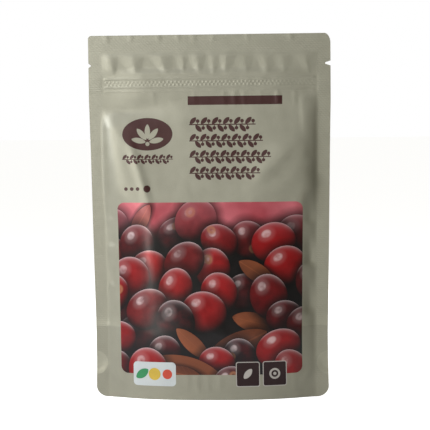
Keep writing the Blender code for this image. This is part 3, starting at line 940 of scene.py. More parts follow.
def gusset_place(u, w):
    """Where points of the flat gusset stand: w is -GUSSET_DEPTH at the front edge and 0 at the crease."""
    up = GUSSET_DEPTH - np.abs(w)
    sealed = seal_height(u)
    tip = panel_middle(HALF, 0.0)
    share = np.clip((up - sealed) / np.maximum(GUSSET_DEPTH - tip - sealed, tip), 0.0, 1.0)
    out, z = free_panel(u, share)
    flat = up <= sealed
    z = np.where(flat, up + GAP, z)
    out = np.where(flat, panel_middle(u, up + GAP), out)
    crease = np.abs(w) < GAP / 2
    z = np.where(crease, crease_height(u) + GAP / 2, z)
    out = np.where(crease, 0.0, out)
    return np.stack((drawn_in(u, z), np.sign(w) * out, z), axis=1)


print(f"the gusset's crease is {crease_height(0.0) / MM:.1f} mm high in the middle")

# %% Cut and bend the gusset
CUT_OUT_RADIUS = 6.8 * MM
CUT_OUT_ARC = (90, 270, 14)
PRESSED_WITHIN = 0.2 * MM
PRESSED_SHARE = 0.9


def make_gusset(name):
    """The folded bottom sheet."""
    sheet = start_sheet(name, -GUSSET_DEPTH, GUSSET_DEPTH)
    for w in (-TWO_LAYERS, TWO_LAYERS):
        bpy.ops.mesh.select_all(action="SELECT")
        cut_line((0.0, w), (0.0, 1.0))
    outside = HALF + CELL
    for side in (-1, 1):
        for middle in (SPOT_Z - GAP - GUSSET_DEPTH, GUSSET_DEPTH - SPOT_Z + GAP):
            round_part = arc((HALF, middle), CUT_OUT_RADIUS, *CUT_OUT_ARC)
            snip([(outside, middle - CUT_OUT_RADIUS), (outside, middle + CUT_OUT_RADIUS)] + round_part, side)
        round_corner(side, -GUSSET_DEPTH, BOTTOM_CORNER, 180 if side < 0 else 270)
        round_corner(side, GUSSET_DEPTH, BOTTOM_CORNER, 90 if side < 0 else 0)
    store_flat_places(sheet)
    points = read_points(sheet)
    write_points(sheet, gusset_place(points[:, 0], points[:, 2]))
    wall = sheet.modifiers.new("wall", "SOLIDIFY")
    wall.thickness = FILM
    wall.offset = 0.0
    wall.use_even_offset = True
    bpy.ops.object.modifier_apply(modifier="wall")
    points = read_points(sheet)
    in_seal = smooth(*WELD_RAMP, np.abs(points[:, 0]) - BELLY_HALF)
    points[:, 1] *= 1.0 - PRESSED_SHARE * in_seal * (np.abs(points[:, 1]) < PRESSED_WITHIN)
    write_points(sheet, points)
    finish_mesh(sheet)
    return sheet


gusset = make_gusset("gusset_sheet")

# %% Let the sheets stand for their solids
for piece, solid, slot in (
    (front, "front_film", "printed_film"),
    (back, "back_film", "plain_film"),
    (gusset, "gusset_film", "gusset_laminate"),
):
    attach(piece, "root")
    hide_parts(solid)
    print(piece.name, "stands for", solid)

# %% [markdown]
# ## The press zip
#
# The zip is two plastic strips: one has a rib with an arrow head, the other a groove that grips it. The
# film hides them, but their shape is what raises the film. Each starts as a flat face with the strip's
# profile and is extruded in short steps. Where a real zip meets the side seals it is crushed flat by the
# hot bars, so both ends are thinned towards the middle plane.

# %% Profiles of the two strips
TAPE_FACE = 0.75 * MM
TAPE_BACK = 1.0 * MM
HEAD_HALF = 0.85 * MM
HEAD_TIP_HALF = 0.45 * MM
ARM_IN = HEAD_HALF + GAP
ARM_OUT = ARM_IN + 0.35 * MM


def mirrored(half):
    """A closed profile from its upper half, mirrored below."""
    return half + [(y, -z) for y, z in reversed(half)]


rib_profile = mirrored([
    (TAPE_BACK, ZIP_TAPE), (TAPE_FACE, ZIP_TAPE), (TAPE_FACE, GAP),
    (-GAP / 2, GAP), (-GAP / 2, HEAD_HALF), (GAP - TAPE_FACE, HEAD_TIP_HALF),
])
groove_profile = mirrored([
    (-TAPE_BACK, ZIP_TAPE), (-TAPE_FACE, ZIP_TAPE), (-TAPE_FACE, ARM_OUT),
    (TAPE_FACE - GAP, ARM_OUT), (GAP / 2, 2 * GAP), (GAP / 2, ARM_IN), (-TAPE_FACE, ARM_IN),
])
print("corners of the profiles:", len(rib_profile), "and", len(groove_profile))

# %% Extrude the strips
STRIP_STEPS = 56
CRUSHED_SHARE = 0.12


def make_strip(name, profile, solid):
    """A zip strip along X that stands for one solid."""
    data = bpy.data.meshes.new(name)
    data.from_pydata([(-ZIP_HALF_LENGTH, y, ZIP_Z + z) for y, z in profile], [], [range(len(profile))])
    strip = bpy.data.objects.new(name, data)
    bpy.context.scene.collection.objects.link(strip)
    bpy.ops.object.select_all(action="DESELECT")
    strip.select_set(True)
    bpy.context.view_layer.objects.active = strip
    bpy.ops.object.mode_set(mode="EDIT")
    bpy.ops.mesh.select_all(action="SELECT")
    step = {"value": (2 * ZIP_HALF_LENGTH / STRIP_STEPS, 0.0, 0.0)}
    for _ in range(STRIP_STEPS):
        bpy.ops.mesh.extrude_region_move(TRANSFORM_OT_translate=step)
    bpy.ops.object.mode_set(mode="OBJECT")
    points = read_points(strip)
    crushed = smooth(ZIP_CRUSHED_FROM, ZIP_HALF_LENGTH, np.abs(points[:, 0]))
    points[:, 1] *= 1.0 - (1.0 - CRUSHED_SHARE) * crushed
    write_points(strip, points)
    finish_mesh(strip)
    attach(strip, "root")
    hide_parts(solid)
    return strip


rib = make_strip("zip_rib", rib_profile, "zip_rib_strip")
groove = make_strip("zip_groove", groove_profile, "zip_groove_strip")

# %% [markdown]
# ## Building a print out of nodes
#
# The print lies flat on the film before the pouch is filled, so it is drawn in flat millimetres: the UV map
# is scaled up by the sheet's size. A printed shape is only a mask, a number that is 1 inside the shape and
# 0 outside, and a mask chooses between two colours. Small node groups make the masks that are used again.

# %% Vectors, noise and masks
def vector_maths(tree, operation, *values):
    """One Vector Math node's result: a number for a length, distance or dot product, else a vector."""
    made = node(tree, "ShaderNodeVectorMath", dict(enumerate(values)), operation=operation)
    if operation in ("LENGTH", "DISTANCE", "DOT_PRODUCT"):
        return Number(tree, made.outputs["Value"])
    return made.outputs["Vector"]


def dim(tree, colour, share):
    """A colour, or a vector, made smaller by a share."""
    made = node(tree, "ShaderNodeVectorMath", {0: colour, "Scale": share}, operation="SCALE")
    return made.outputs["Vector"]


def split(tree, vector):
    """The three numbers of a vector."""
    return [Number(tree, socket) for socket in node(tree, "ShaderNodeSeparateXYZ", {0: vector}).outputs]


def join(x, y, z=0.0):
    """A vector from three numbers."""
    return node(x.tree, "ShaderNodeCombineXYZ", {0: x, 1: y, 2: z}).outputs[0]


def noise(tree, place, scale, detail):
    """An uneven pattern, as a number from 0 to 1: scale is how many lumps there are to a millimetre."""
    made = node(tree, "ShaderNodeTexNoise", {"Vector": place, "Scale": scale, "Detail": detail})
    return Number(tree, made.outputs[0])


def either(*masks):
    """The union of several masks."""
    total = masks[0]
    for mask in masks[1:]:
        total = total.at_least(mask)
    return total


def between(value, low, high):
    """A mask: 1 where a number lies between two others."""
    return (value > low) * (value < high)


# %% Node groups
SOCKETS = {"number": "NodeSocketFloat", "vector": "NodeSocketVector"}


def by_name(tree, sockets):
    """Output sockets by their names, those for one number as a Number."""
    return {way.name: Number(tree, way) if way.type == "VALUE" else way for way in sockets}


def start_group(name, inputs, outputs):
    """A node group with named inputs and outputs, each a number or a vector."""
    group = bpy.data.node_groups.new(name, "ShaderNodeTree")
    for way, sockets in (("INPUT", inputs), ("OUTPUT", outputs)):
        for socket, kind in sockets.items():
            group.interface.new_socket(socket, in_out=way, socket_type=SOCKETS[kind])
    given = by_name(group, group.nodes.new("NodeGroupInput").outputs)
    return group, given, group.nodes.new("NodeGroupOutput").inputs


def use_group(tree, group, inputs):
    """Add one use of a group and return its outputs."""
    made = tree.nodes.new("ShaderNodeGroup")
    made.node_tree = group
    for name, value in inputs.items():
        set_or_link(tree, made.inputs[name], value)
    return by_name(tree, made.outputs)


# %% A rounded patch
patch_group, given, sent = start_group(
    "rounded patch", {"Place": "vector", "Middle": "vector", "Half": "vector", "Radius": "number"},
    {"Inside": "number"},
)
offset = vector_maths(patch_group, "SUBTRACT", given["Place"], given["Middle"])
core = vector_maths(patch_group, "SUBTRACT", given["Half"], join(given["Radius"], given["Radius"]))
beyond = vector_maths(patch_group, "SUBTRACT", vector_maths(patch_group, "ABSOLUTE", offset), core)
beyond = vector_maths(patch_group, "MAXIMUM", beyond, (0.0, 0.0, 0.0))
inside = vector_maths(patch_group, "LENGTH", beyond) < given["Radius"]
set_or_link(patch_group, sent["Inside"], inside)
print("nodes in a rounded patch:", len(patch_group.nodes))


def patch(tree, place, middle, half, radius):
    """A mask: 1 inside a rounded box, in millimetres."""
    return use_group(tree, patch_group, {
        "Place": place, "Middle": (*middle, 0.0), "Half": (*half, 0.0), "Radius": radius,
    })["Inside"]


# %% A leaf, and a spot
LEAF_FULLNESS = 0.72


def in_leaf(x, y):
    """A mask: 1 inside a leaf that is pointed at both ends, at -1 and at 1 along x."""
    return abs(y) < (1.0 - x * x).at_least(0.0) ** LEAF_FULLNESS


leaf_group, given, sent = start_group(
    "leaf", {"Place": "vector", "Middle": "vector", "Turn": "vector", "Half": "vector"}, {"Inside": "number"},
)
own = node(leaf_group, "ShaderNodeMapping", {
    "Vector": given["Place"], "Location": given["Middle"], "Rotation": given["Turn"], "Scale": given["Half"],
}, vector_type="TEXTURE").outputs[0]
own_x, own_y, _ = split(leaf_group, own)
set_or_link(leaf_group, sent["Inside"], in_leaf(own_x, own_y))
print("nodes in a leaf:", len(leaf_group.nodes))


def leaf(tree, place, middle, degrees, half):
    """A mask: 1 inside a leaf that is turned by some degrees."""
    return use_group(tree, leaf_group, {
        "Place": place, "Middle": (*middle, 0.0), "Turn": (0.0, 0.0, math.radians(degrees)),
        "Half": (*half, 1.0),
    })["Inside"]


def dot(tree, place, middle, radius):
    """A mask: 1 inside a round spot."""
    return vector_maths(tree, "DISTANCE", place, (*middle, 0.0)) < radius


# %% [markdown]
# ## A border of sprigs
#
# A row of small printed marks is one motif that repeats. The Wrap operation turns the place along the row
# into a place within one repeat, so a single leaf and a single berry are enough for a whole row. Taking the
# height without its sign mirrors them below the stem, and a shift by half a step there makes them
# alternate, as on a real twig.

# %% The sprig row
SPRIG_PITCH = 5.6
SPRIG_LEAF = {"middle": (1.95, 1.95), "degrees": 47, "half": (2.25, 1.12)}
SPRIG_BERRY = {"middle": (4.35, 1.75), "radius": 0.92}
SPRIG_STALK = {"middle": (4.35, 0.8), "half": (0.2, 0.8), "radius": 0.1}
STEM_HALF = 0.27

row_group, given, sent = start_group(
    "sprig row",
    {"Place": "vector", "Start": "number", "Height": "number", "Repeats": "number", "Size": "number"},
    {"Inside": "number"},
)
across, up, _ = split(row_group, given["Place"])
along = (across - given["Start"]) / given["Size"]
above = (up - given["Height"]) / given["Size"]
half_step = (above < 0.0) * (SPRIG_PITCH / 2)
length = given["Repeats"] * SPRIG_PITCH
motif = join(maths(row_group, "WRAP", along + half_step, SPRIG_PITCH, 0.0), abs(above))
sprig = either(
    leaf(row_group, motif, **SPRIG_LEAF), dot(row_group, motif, **SPRIG_BERRY),
    patch(row_group, motif, **SPRIG_STALK),
)
sprig = sprig * between(along, half_step, length - half_step)
stem = (abs(above) < STEM_HALF) * between(along, 0.0, length)
set_or_link(row_group, sent["Inside"], either(sprig, stem))
print("nodes in the sprig row:", len(row_group.nodes))


def sprig_row(tree, place, start, height, repeats, size):
    """A mask: a stem with leaves and berries, of so many repeats."""
    return use_group(tree, row_group, {
        "Place": place, "Start": start, "Height": height, "Repeats": float(repeats), "Size": size,
    })["Inside"]


# %% [markdown]
# ## The printed picture
#
# The front shows a heap of glossy berries before a soft pink ground. It is painted the way a painter would:
# from the back to the front, each berry over the last, with a pink haze over the farthest ones. Shading
# every berry on its own would need thousands of nodes. So the chain only remembers which berry lies on top:
# its middle, its two axes, how ripe it is and where its dried flower end sits. The light is worked out
# once, at the end, from what the chain remembers. Dot products with the two axes give a place on the berry;
# they are chosen over Mapping nodes because a long chain of those does not compile.

# %% One more berry, or one more leaf, over the heap
CARRIED = {"Spot": "vector", "Along": "vector", "Across": "vector", "Traits": "vector", "Shade": "number"}
OWN = {"Own spot": "vector", "Own along": "vector", "Own across": "vector", "Own traits": "vector"}
SHADOW_REACH = 1.45
SHADOW_DEPTH = 0.2


def start_layer(name, inside):
    """A group that lays one shape over what it is given; inside makes its mask."""
    group, given, sent = start_group(name, {"Place": "vector", **CARRIED, **OWN}, CARRIED)
    offset = vector_maths(group, "SUBTRACT", given["Place"], given["Own spot"])
    x = vector_maths(group, "DOT_PRODUCT", offset, given["Own along"])
    y = vector_maths(group, "DOT_PRODUCT", offset, given["Own across"])
    far = vector_maths(group, "LENGTH", join(x, y))
    covered = inside(x, y, far)
    for socket in ("Spot", "Along", "Across", "Traits"):
        own_value = given["Own " + socket.lower()]
        set_or_link(group, sent[socket], mix(covered, given[socket], own_value, "VECTOR"))
    rise = (1.0 - SHADOW_DEPTH) / (SHADOW_REACH - 1.0)
    shadow = maths(group, "MULTIPLY_ADD", far, rise, SHADOW_DEPTH - rise)
    dimmed = given["Shade"] * shadow.at_most(1.0)
    set_or_link(group, sent["Shade"], mix(covered, dimmed, 1.0, "FLOAT"))
    return group


berry_over = start_layer("berry over", lambda x, y, far: far < 1.0)
leaf_over = start_layer("leaf over", lambda x, y, far: in_leaf(x, y))
print("nodes for one berry:", len(berry_over.nodes))

# %% Where the painted berries lie
PICTURE = ((-0.1, 60.2), (50.6, 46.3), 4.0)
PICTURE_SEED = 23
BERRY_COUNT = 43
BERRY_SPACING = 12.4
HEAP_SIDES = 57.0
HEAP_LOW = 9.0
HEAP_HIGH = 94.0
HEAP_WAVE = (6.0, 17.0)
OUT_OF_ROW = 14.0


def heap(rng):
    """Spots for the berries, from the back of the heap to its front."""
    spots = []
    while len(spots) < BERRY_COUNT:
        across = rng.uniform(-HEAP_SIDES, HEAP_SIDES)
        up = rng.uniform(HEAP_LOW, HEAP_HIGH - HEAP_WAVE[0] * math.sin(across / HEAP_WAVE[1]))
        if all(math.hypot(across - x, up - z) > BERRY_SPACING for x, z in spots):
            spots.append((across, up))
    return sorted(spots, key=lambda spot: -spot[1] + rng.uniform(-OUT_OF_ROW, OUT_OF_ROW))


farthest = heap(random.Random(PICTURE_SEED))[0]
print("the farthest berry lies at", [round(place, 1) for place in farthest])

# %% Paint the heap
BERRY_HALF = (10.0, 12.8)
BERRY_NARROW = (0.78, 0.95)
BERRY_TURN = 1.5
BERRY_TONES = (0.05, 0.2, 0.4, 0.6, 0.75, 0.9, 1.0)
MOUTH_OUT = (0.5, 0.75, 5.0, 5.0)
LEAF_EVERY = 9
FIRST_LEAF = 5
LEAF_NARROW = (0.35, 0.42)
LEAF_TONES = (0.2, 1.0)
BIG_LEAVES = {30: (14.0, 29.0, 19.0, 7.4, -2.7), 37: (-14.0, 15.0, 23.0, 9.0, -0.25)}
BIG_LEAF_TONE = -0.45
NOTHING = 99.0


def paint_heap(tree, place):
    """Lay all berries and leaves over each other and return what is remembered of the top one."""
    rng = random.Random(PICTURE_SEED)
    top = {
        "Spot": (0.0, 0.0, 0.0), "Along": (1.0, 0.0, 0.0), "Across": (0.0, 1.0, 0.0),
        "Traits": (NOTHING, 0.0, 0.0), "Shade": 1.0,
    }
    for count, (across, up) in enumerate(heap(rng)):
        layer = berry_over
        half = rng.uniform(*BERRY_HALF)
        narrow = half * rng.uniform(*BERRY_NARROW)
        turn = rng.uniform(-BERRY_TURN, BERRY_TURN)
        tone = rng.choice(BERRY_TONES)
        if count % LEAF_EVERY == FIRST_LEAF:
            layer = leaf_over
            narrow = half * rng.uniform(*LEAF_NARROW)
            turn *= 2.0
            tone = -rng.uniform(*LEAF_TONES)
        if count in BIG_LEAVES:
            layer = leaf_over
            across, up, half, narrow, turn = BIG_LEAVES[count]
            tone = BIG_LEAF_TONE
        angle = rng.uniform(0.0, math.tau)
        out = rng.choice(MOUTH_OUT)
        outputs = use_group(tree, layer, {
            "Place": place, **top,
            "Own spot": (across, up, 0.0),
            "Own along": (math.cos(turn) / half, math.sin(turn) / half, 0.0),
            "Own across": (-math.sin(turn) / narrow, math.cos(turn) / narrow, 0.0),
            "Own traits": (out * math.cos(angle), out * math.sin(angle), tone),
        })
        top = {name: outputs[name] for name in CARRIED}
    return top


# %% The colour of a painted berry
# A range has the two ends that it starts from, and then the two ends that they become.
DARK_SKIN = (0.010, 0.001, 0.002, 1.0)
RED_SKIN = (0.27, 0.003, 0.004, 1.0)
RIM_COLOUR = (0.64, 0.53, 0.53, 1.0)
GLINT_COLOUR = (0.85, 0.72, 0.70, 1.0)
MOUTH_COLOUR = (0.36, 0.15, 0.07, 1.0)
MAIN_LIGHT = (-0.32, 0.55, 0.77)
GLINT_LIGHT = (-0.36, 0.46, 0.81)
MOTTLE = (0.16, 4.0)
MOTTLED_TONE = (0.3, 0.7, -0.12, 0.12)
LIT = (-0.35, 1.05, 0.02, 1.1)
RIM = (0.35, 0.95, 0.0, 0.85)
RIM_NARROWNESS = 3.0
SHEEN = (0.86, 1.0, 0.0, 0.09)
GLINT = (0.955, 0.992, 0.0, 0.5)
BROKEN_GLINT = (0.35, 0.6, 0.25, 1.0)
MOUTH_RING = (0.27, 0.19, 0.0, 0.75)
MOUTH_HOLE = (0.05, 0.12, 0.25, 1.0)


def berry_colour(tree, place, facing, mouth, tone):
    """A berry's colour from where its skin faces and how ripe it is."""
    x, y, _ = split(tree, facing)
    towards = maths(tree, "SQRT", (1.0 - (x * x + y * y)).at_least(0.0))
    normal = join(x, y, towards)
    mottle = noise(tree, place, *MOTTLE)
    ripe = tone + remap(mottle, *MOTTLED_TONE)
    lit = remap(vector_maths(tree, "DOT_PRODUCT", normal, MAIN_LIGHT), *LIT, soft=True)
    colour = dim(tree, mix(ripe.at_least(0.0), DARK_SKIN, RED_SKIN), lit)
    rim = (1.0 - towards) ** RIM_NARROWNESS * remap(y, *RIM, soft=True)
    colour = mix(rim, colour, RIM_COLOUR)
    aligned = vector_maths(tree, "DOT_PRODUCT", normal, GLINT_LIGHT).at_least(0.0)
    glint = remap(aligned, *GLINT, soft=True) * remap(mottle, *BROKEN_GLINT)
    colour = mix(either(remap(aligned, *SHEEN, soft=True), glint), colour, GLINT_COLOUR)
    off = vector_maths(tree, "DISTANCE", join(x, y), mouth)
    return mix(remap(off, *MOUTH_RING) * remap(off, *MOUTH_HOLE), colour, MOUTH_COLOUR)


# %% The colour of a painted leaf
LEAF_DARK = (0.05, 0.012, 0.006, 1.0)
LEAF_LIGHT = (0.30, 0.085, 0.03, 1.0)
MIDRIB = (0.12, 0.04, 0.0, 0.7)
VEIN = (0.03, 0.0, 0.0, 0.4)
VEIN_SLANT = 0.35
VEIN_PITCH = 0.13
LEAF_TONE_SHARE = -0.5
LEAF_UPPER_SIDE = (-0.9, 0.9, 0.0, 0.3)


def leaf_colour(tree, x, y, tone):
    """A leaf's colour: a pale midrib and slanting veins."""
    away = abs(y)
    slant = x - away * VEIN_SLANT
    ribs = either(remap(away, *MIDRIB), remap(maths(tree, "PINGPONG", slant, VEIN_PITCH), *VEIN))
    body = tone * LEAF_TONE_SHARE + remap(y, *LEAF_UPPER_SIDE)
    return mix(either(body, ribs), LEAF_DARK, LEAF_LIGHT)


# %% The whole picture
GAP_COLOUR = (0.006, 0.003, 0.003, 1.0)
HAZE_PINK = (0.50, 0.12, 0.14, 1.0)
HAZE_RED = (0.28, 0.02, 0.03, 1.0)
HAZE_CLOUDS = (0.06, 1.0)
HAZE_MIDDLE = (0.35, 0.65)
GROUND_FROM = (84.0, 98.0)
HAZE_RISE = (84.0, 110.0, 0.0, 0.5)


def painted_picture(tree, place):
    """The heap's colour at a place on the film."""
    top = paint_heap(tree, place)
    mouth_x, mouth_y, tone = split(tree, top["Traits"])
    offset = vector_maths(tree, "SUBTRACT", place, top["Spot"])
    x = vector_maths(tree, "DOT_PRODUCT", offset, top["Along"])
    y = vector_maths(tree, "DOT_PRODUCT", offset, top["Across"])
    facing = vector_maths(
        tree, "ADD", dim(tree, vector_maths(tree, "NORMALIZE", top["Along"]), x),
        dim(tree, vector_maths(tree, "NORMALIZE", top["Across"]), y),
    )
    berries = berry_colour(tree, place, facing, join(mouth_x, mouth_y), tone)
    colour = mix(tone < 0.0, berries, leaf_colour(tree, x, y, tone))
    _, up, _ = split(tree, place)
    clouds = remap(noise(tree, place, *HAZE_CLOUDS), *HAZE_MIDDLE, soft=True)
    behind = mix(remap(up, *GROUND_FROM, soft=True), GAP_COLOUR, mix(clouds, HAZE_RED, HAZE_PINK))
    colour = mix(mouth_x > NOTHING / 2, colour, behind)
    colour = mix(remap(up, *HAZE_RISE, soft=True), colour, HAZE_PINK)
    return dim(tree, colour, top["Shade"])


# %% [markdown]
# ## Printed film
#
# The ink layers go on in the order a press would lay them down: the ground colour, the brown marks, the
# picture, and the small label and tiles on top. The film itself is satin: a little metallic, quite rough,
# with fine ribs pressed into it wherever a hot bar made a seal. Those ribs are far finer than the mesh, so
# they are a bump, and the bump is masked to the seals.

# %% Where the film is sealed, how it is marked there, and painted light at the fold line
RIB_PITCH = 1.13
RIB_SLANT = 1.6
RIB_CROSSING = 0.5
SEAL_EDGE = 0.4
FOLD_LINE = (GUSSET_DEPTH / MM - 0.1, GUSSET_DEPTH / MM + 0.4)
FOLD_PAINTED_HIGHLIGHT_ENDS = (GUSSET_DEPTH / MM + 2.0, GUSSET_DEPTH / MM + 8.0)
FOLD_LINE_INNER_END = (44.0, 50.0)
# Painted light at the fold line: shade over the seal below it, a highlight on the band just above.
FOLD_SHADE = 0.06
FOLD_PAINTED_HIGHLIGHT = 0.06


def flat_place(tree):
    """Place on the flat cut in millimetres: x from the middle, y from the bottom edge."""
    flat = node(tree, "ShaderNodeUVMap", uv_map="flat_cut").outputs[0]
    size = (2 * HALF / MM, HEIGHT / MM, 0.0)
    return vector_maths(tree, "SUBTRACT", vector_maths(tree, "MULTIPLY", flat, size), (HALF / MM, 0.0, 0.0))


def spot_mask(tree, place):
    """1 in the half-round spots at both side edges, where all films are welded flat."""
    return dot(tree, vector_maths(tree, "ABSOLUTE", place), (HALF / MM, SPOT_Z / MM), SPOT_RADIUS / MM)


def seal_mask(across, up):
    """1 in the side seals and the top seal."""
    sides, top = BELLY_HALF / MM, (HEIGHT - TOP_SEAL) / MM
    beside = remap(abs(across), sides - SEAL_EDGE, sides + SEAL_EDGE, soft=True)
    return either(beside, remap(up, top - SEAL_EDGE, top + SEAL_EDGE, soft=True))


def woven_ribs(tree, across, up):
    """The pattern of the hot bars: level ribs crossed by slanting ones."""
    level = maths(tree, "SINE", up * (math.tau / RIB_PITCH))
    slanting = maths(tree, "SINE", (across + up) * (math.tau / RIB_PITCH / RIB_SLANT))
    return level + slanting * RIB_CROSSING


def fold_line(across, up):
    """The gusset's fold across each side seal: a step, painted shade below and a painted highlight above."""
    beside = remap(abs(across), *FOLD_LINE_INNER_END, soft=True)
    step = remap(up, *FOLD_LINE, 1.0, 0.0, soft=True)
    # Painted light: painted shade below the fold line, and a painted highlight just above it.
    tint = remap(up, *FOLD_LINE, -FOLD_SHADE, FOLD_PAINTED_HIGHLIGHT, soft=True)
    tint = tint.at_most(remap(up, *FOLD_PAINTED_HIGHLIGHT_ENDS, FOLD_PAINTED_HIGHLIGHT, 0.0, soft=True))
    return step * beside, tint * beside


print(f"the gusset's fold line lies {FOLD_LINE[0]:.1f} to {FOLD_LINE[1]:.1f} mm up")

# %% Gloss, bumps and uneven tint of the film
RIB_HEIGHT = 0.016
FOLD_LINE_HEIGHT = 0.06
DENTS = (0.16, 3.0)
DENT_HEIGHT = 0.10
DENTED_TINT = (0.3, 0.7, 0.97, 1.02)
DENTED_GLOSS = (0.3, 0.7, 0.39, 0.44)
GRAIN = (2.4, 2.0)
GRAIN_HEIGHT = 0.012
GRAINY_TINT = (0.35, 0.65, -0.03, 0.03)
SPOT_TINT = 0.15
SEAL_ROUGHER = 0.05
INK_GLOSS = 0.115
FILM_METAL = 0.25
FILM_SPECULAR = 0.5


def raised(tree, height, distance, under=None):
    """A bump that stands distance millimetres high where height is 1, over another bump."""
    inputs = {"Height": height, "Strength": 1.0, "Distance": distance * MM}
    if under:
        inputs["Normal"] = under
    return node(tree, "ShaderNodeBump", inputs).outputs[0]


def finish_film(tree, place, colour, gloss=None):
    """Send a colour, the seal ribs, dents and grain to the shader; gloss is where ink makes it smoother."""
    shader = tree.nodes["Principled BSDF"]
    across, up, _ = split(tree, place)
    spots = spot_mask(tree, place)
    seals = (seal_mask(across, up) - spots).at_least(0.0)
    folded, fold_painted_light = fold_line(across, up)
    dents = noise(tree, place, *DENTS)
    grain = noise(tree, place, *GRAIN)
    bumps = raised(tree, woven_ribs(tree, across, up) * seals, RIB_HEIGHT)
    bumps = raised(tree, folded, FOLD_LINE_HEIGHT, bumps)
    bumps = raised(tree, dents, DENT_HEIGHT, bumps)
    bumps = raised(tree, grain, GRAIN_HEIGHT, bumps)
    # Tint: grain, dents, welded spots, and the fold line's painted shade and painted highlight.
    tint = remap(grain, *GRAINY_TINT) + remap(dents, *DENTED_TINT) + fold_painted_light + spots * SPOT_TINT
    rough = remap(dents, *DENTED_GLOSS) + seals * SEAL_ROUGHER
    if gloss is not None:
        rough = rough - gloss * INK_GLOSS
    set_or_link(tree, shader.inputs["Base Color"], dim(tree, colour, tint))
    set_or_link(tree, shader.inputs["Roughness"], rough)
    set_or_link(tree, shader.inputs["Normal"], bumps)
    shader.inputs["Metallic"].default_value = FILM_METAL
    shader.inputs["Specular IOR Level"].default_value = FILM_SPECULAR


# %% The brown marks
TAUPE = (0.283, 0.273, 0.206, 1.0)
BROWN_INK = (0.044, 0.012, 0.010, 1.0)
BAR = ((13.8, 160.75), (25.35, 2.35), 0.1)
ROWS = (
    (-10.9, 147.9, 6, 1.066), (-10.9, 139.2, 7, 1.015), (-10.9, 130.6, 8, 0.985), (-10.9, 121.95, 7, 0.98),
    (-47.3, 129.6, 7, 0.704),
)
DOTS = (((-45.5, 113.8), 1.0), ((-42.3, 113.8), 1.0), ((-39.1, 113.8), 1.0), ((-34.0, 113.8), 1.9))
EMBLEM = (-33.5, 143.0)
EMBLEM_HALF = (13.6, 8.7, 1.0)
FAN = (90, 50, 12)
FAN_FOOT = -4.6
FAN_OUT = (4.9, 6.0)
FAN_LEAF = (3.9, 1.45)
FAN_BERRY = ((0.0, FAN_FOOT - 0.6), 1.1)


def emblem(tree, place):
    """An oval mark with a fan of leaves and berries left open in it."""
    offset = vector_maths(tree, "SUBTRACT", place, (*EMBLEM, 0.0))
    oval = vector_maths(tree, "LENGTH", vector_maths(tree, "DIVIDE", offset, EMBLEM_HALF)) < 1.0
    across, up, _ = split(tree, offset)
    half = join(abs(across), up)
    fan = [dot(tree, half, *FAN_BERRY)]
    for degrees in FAN:
        angle = math.radians(degrees)
        middle = (FAN_OUT[0] * math.cos(angle), FAN_FOOT + FAN_OUT[1] * math.sin(angle))
        fan.append(leaf(tree, half, middle, degrees, FAN_LEAF))
    return oval - either(*fan)


def brown_marks(tree, place):
    """The bar, the rows of sprigs, the emblem and the dots."""
    marks = [patch(tree, place, *BAR), emblem(tree, place)]
    marks += [sprig_row(tree, place, *row) for row in ROWS]
    marks += [dot(tree, place, *spot) for spot in DOTS]
    return either(*marks)


print("rows of sprigs:", len(ROWS), "and dots:", len(DOTS))

# %% All ink layers
TILE_INK = (0.016, 0.002, 0.002, 1.0)
WHITE_INK = (0.50, 0.53, 0.52, 1.0)
PALE_INK = (0.42, 0.39, 0.35, 1.0)
LABEL_GREEN = (0.03, 0.22, 0.08, 1.0)
LABEL_GOLD = (0.55, 0.38, 0.05, 1.0)
LABEL_RED = (0.5, 0.06, 0.03, 1.0)
LABEL = ((-31.5, 14.1), (12.0, 6.6), 2.2)
LABEL_LEAF = ((-38.5, 14.1), 35, (4.2, 2.3))
LABEL_DISC = ((-31.5, 14.1), 3.4)
LABEL_BERRY = ((-24.3, 14.1), 2.7)
TILES = ((20.4, 14.1), (35.2, 14.2))
TILE_RIM = ((6.6, 6.9), 1.3)
TILE_FACE = ((6.15, 6.45), 0.95)
TILE_LEAF = ((20.4, 14.4), 50, (3.4, 1.7))
TILE_RINGS = (3.0, 1.9, 0.9)


def print_colours(tree, place, picture):
    """All ink layers over the ground; picture is the mask of the painted part."""
    colour = mix(brown_marks(tree, place), TAUPE, BROWN_INK)
    colour = mix(picture, colour, painted_picture(tree, place))
    colour = mix(patch(tree, place, *LABEL), colour, WHITE_INK)
    colour = mix(leaf(tree, place, *LABEL_LEAF), colour, LABEL_GREEN)
    colour = mix(dot(tree, place, *LABEL_DISC), colour, LABEL_GOLD)
    colour = mix(dot(tree, place, *LABEL_BERRY), colour, LABEL_RED)
    for tile in TILES:
        colour = mix(patch(tree, place, tile, *TILE_RIM), colour, PALE_INK)
        colour = mix(patch(tree, place, tile, *TILE_FACE), colour, TILE_INK)
    outer, inner, core = [dot(tree, place, TILES[1], radius) for radius in TILE_RINGS]
    return mix(either(leaf(tree, place, *TILE_LEAF), outer - inner, core), colour, PALE_INK)


# %% Put the film materials on
def new_material(name):
    """A node material and its node tree."""
    material = bpy.data.materials.new(name)
    material.use_nodes = True
    return material, material.node_tree


for name, sheet in (("printed_satin_film", front), ("plain_satin_film", back), ("gusset_satin_film", gusset)):
    material, tree = new_material(name)
    place = flat_place(tree)
    if sheet == front:
        picture = patch(tree, place, *PICTURE)
        finish_film(tree, place, print_colours(tree, place, picture), picture)
    else:
        finish_film(tree, place, TAUPE[:3])
    sheet.data.materials.append(material)
    print(name, "has", len(tree.nodes), "nodes")
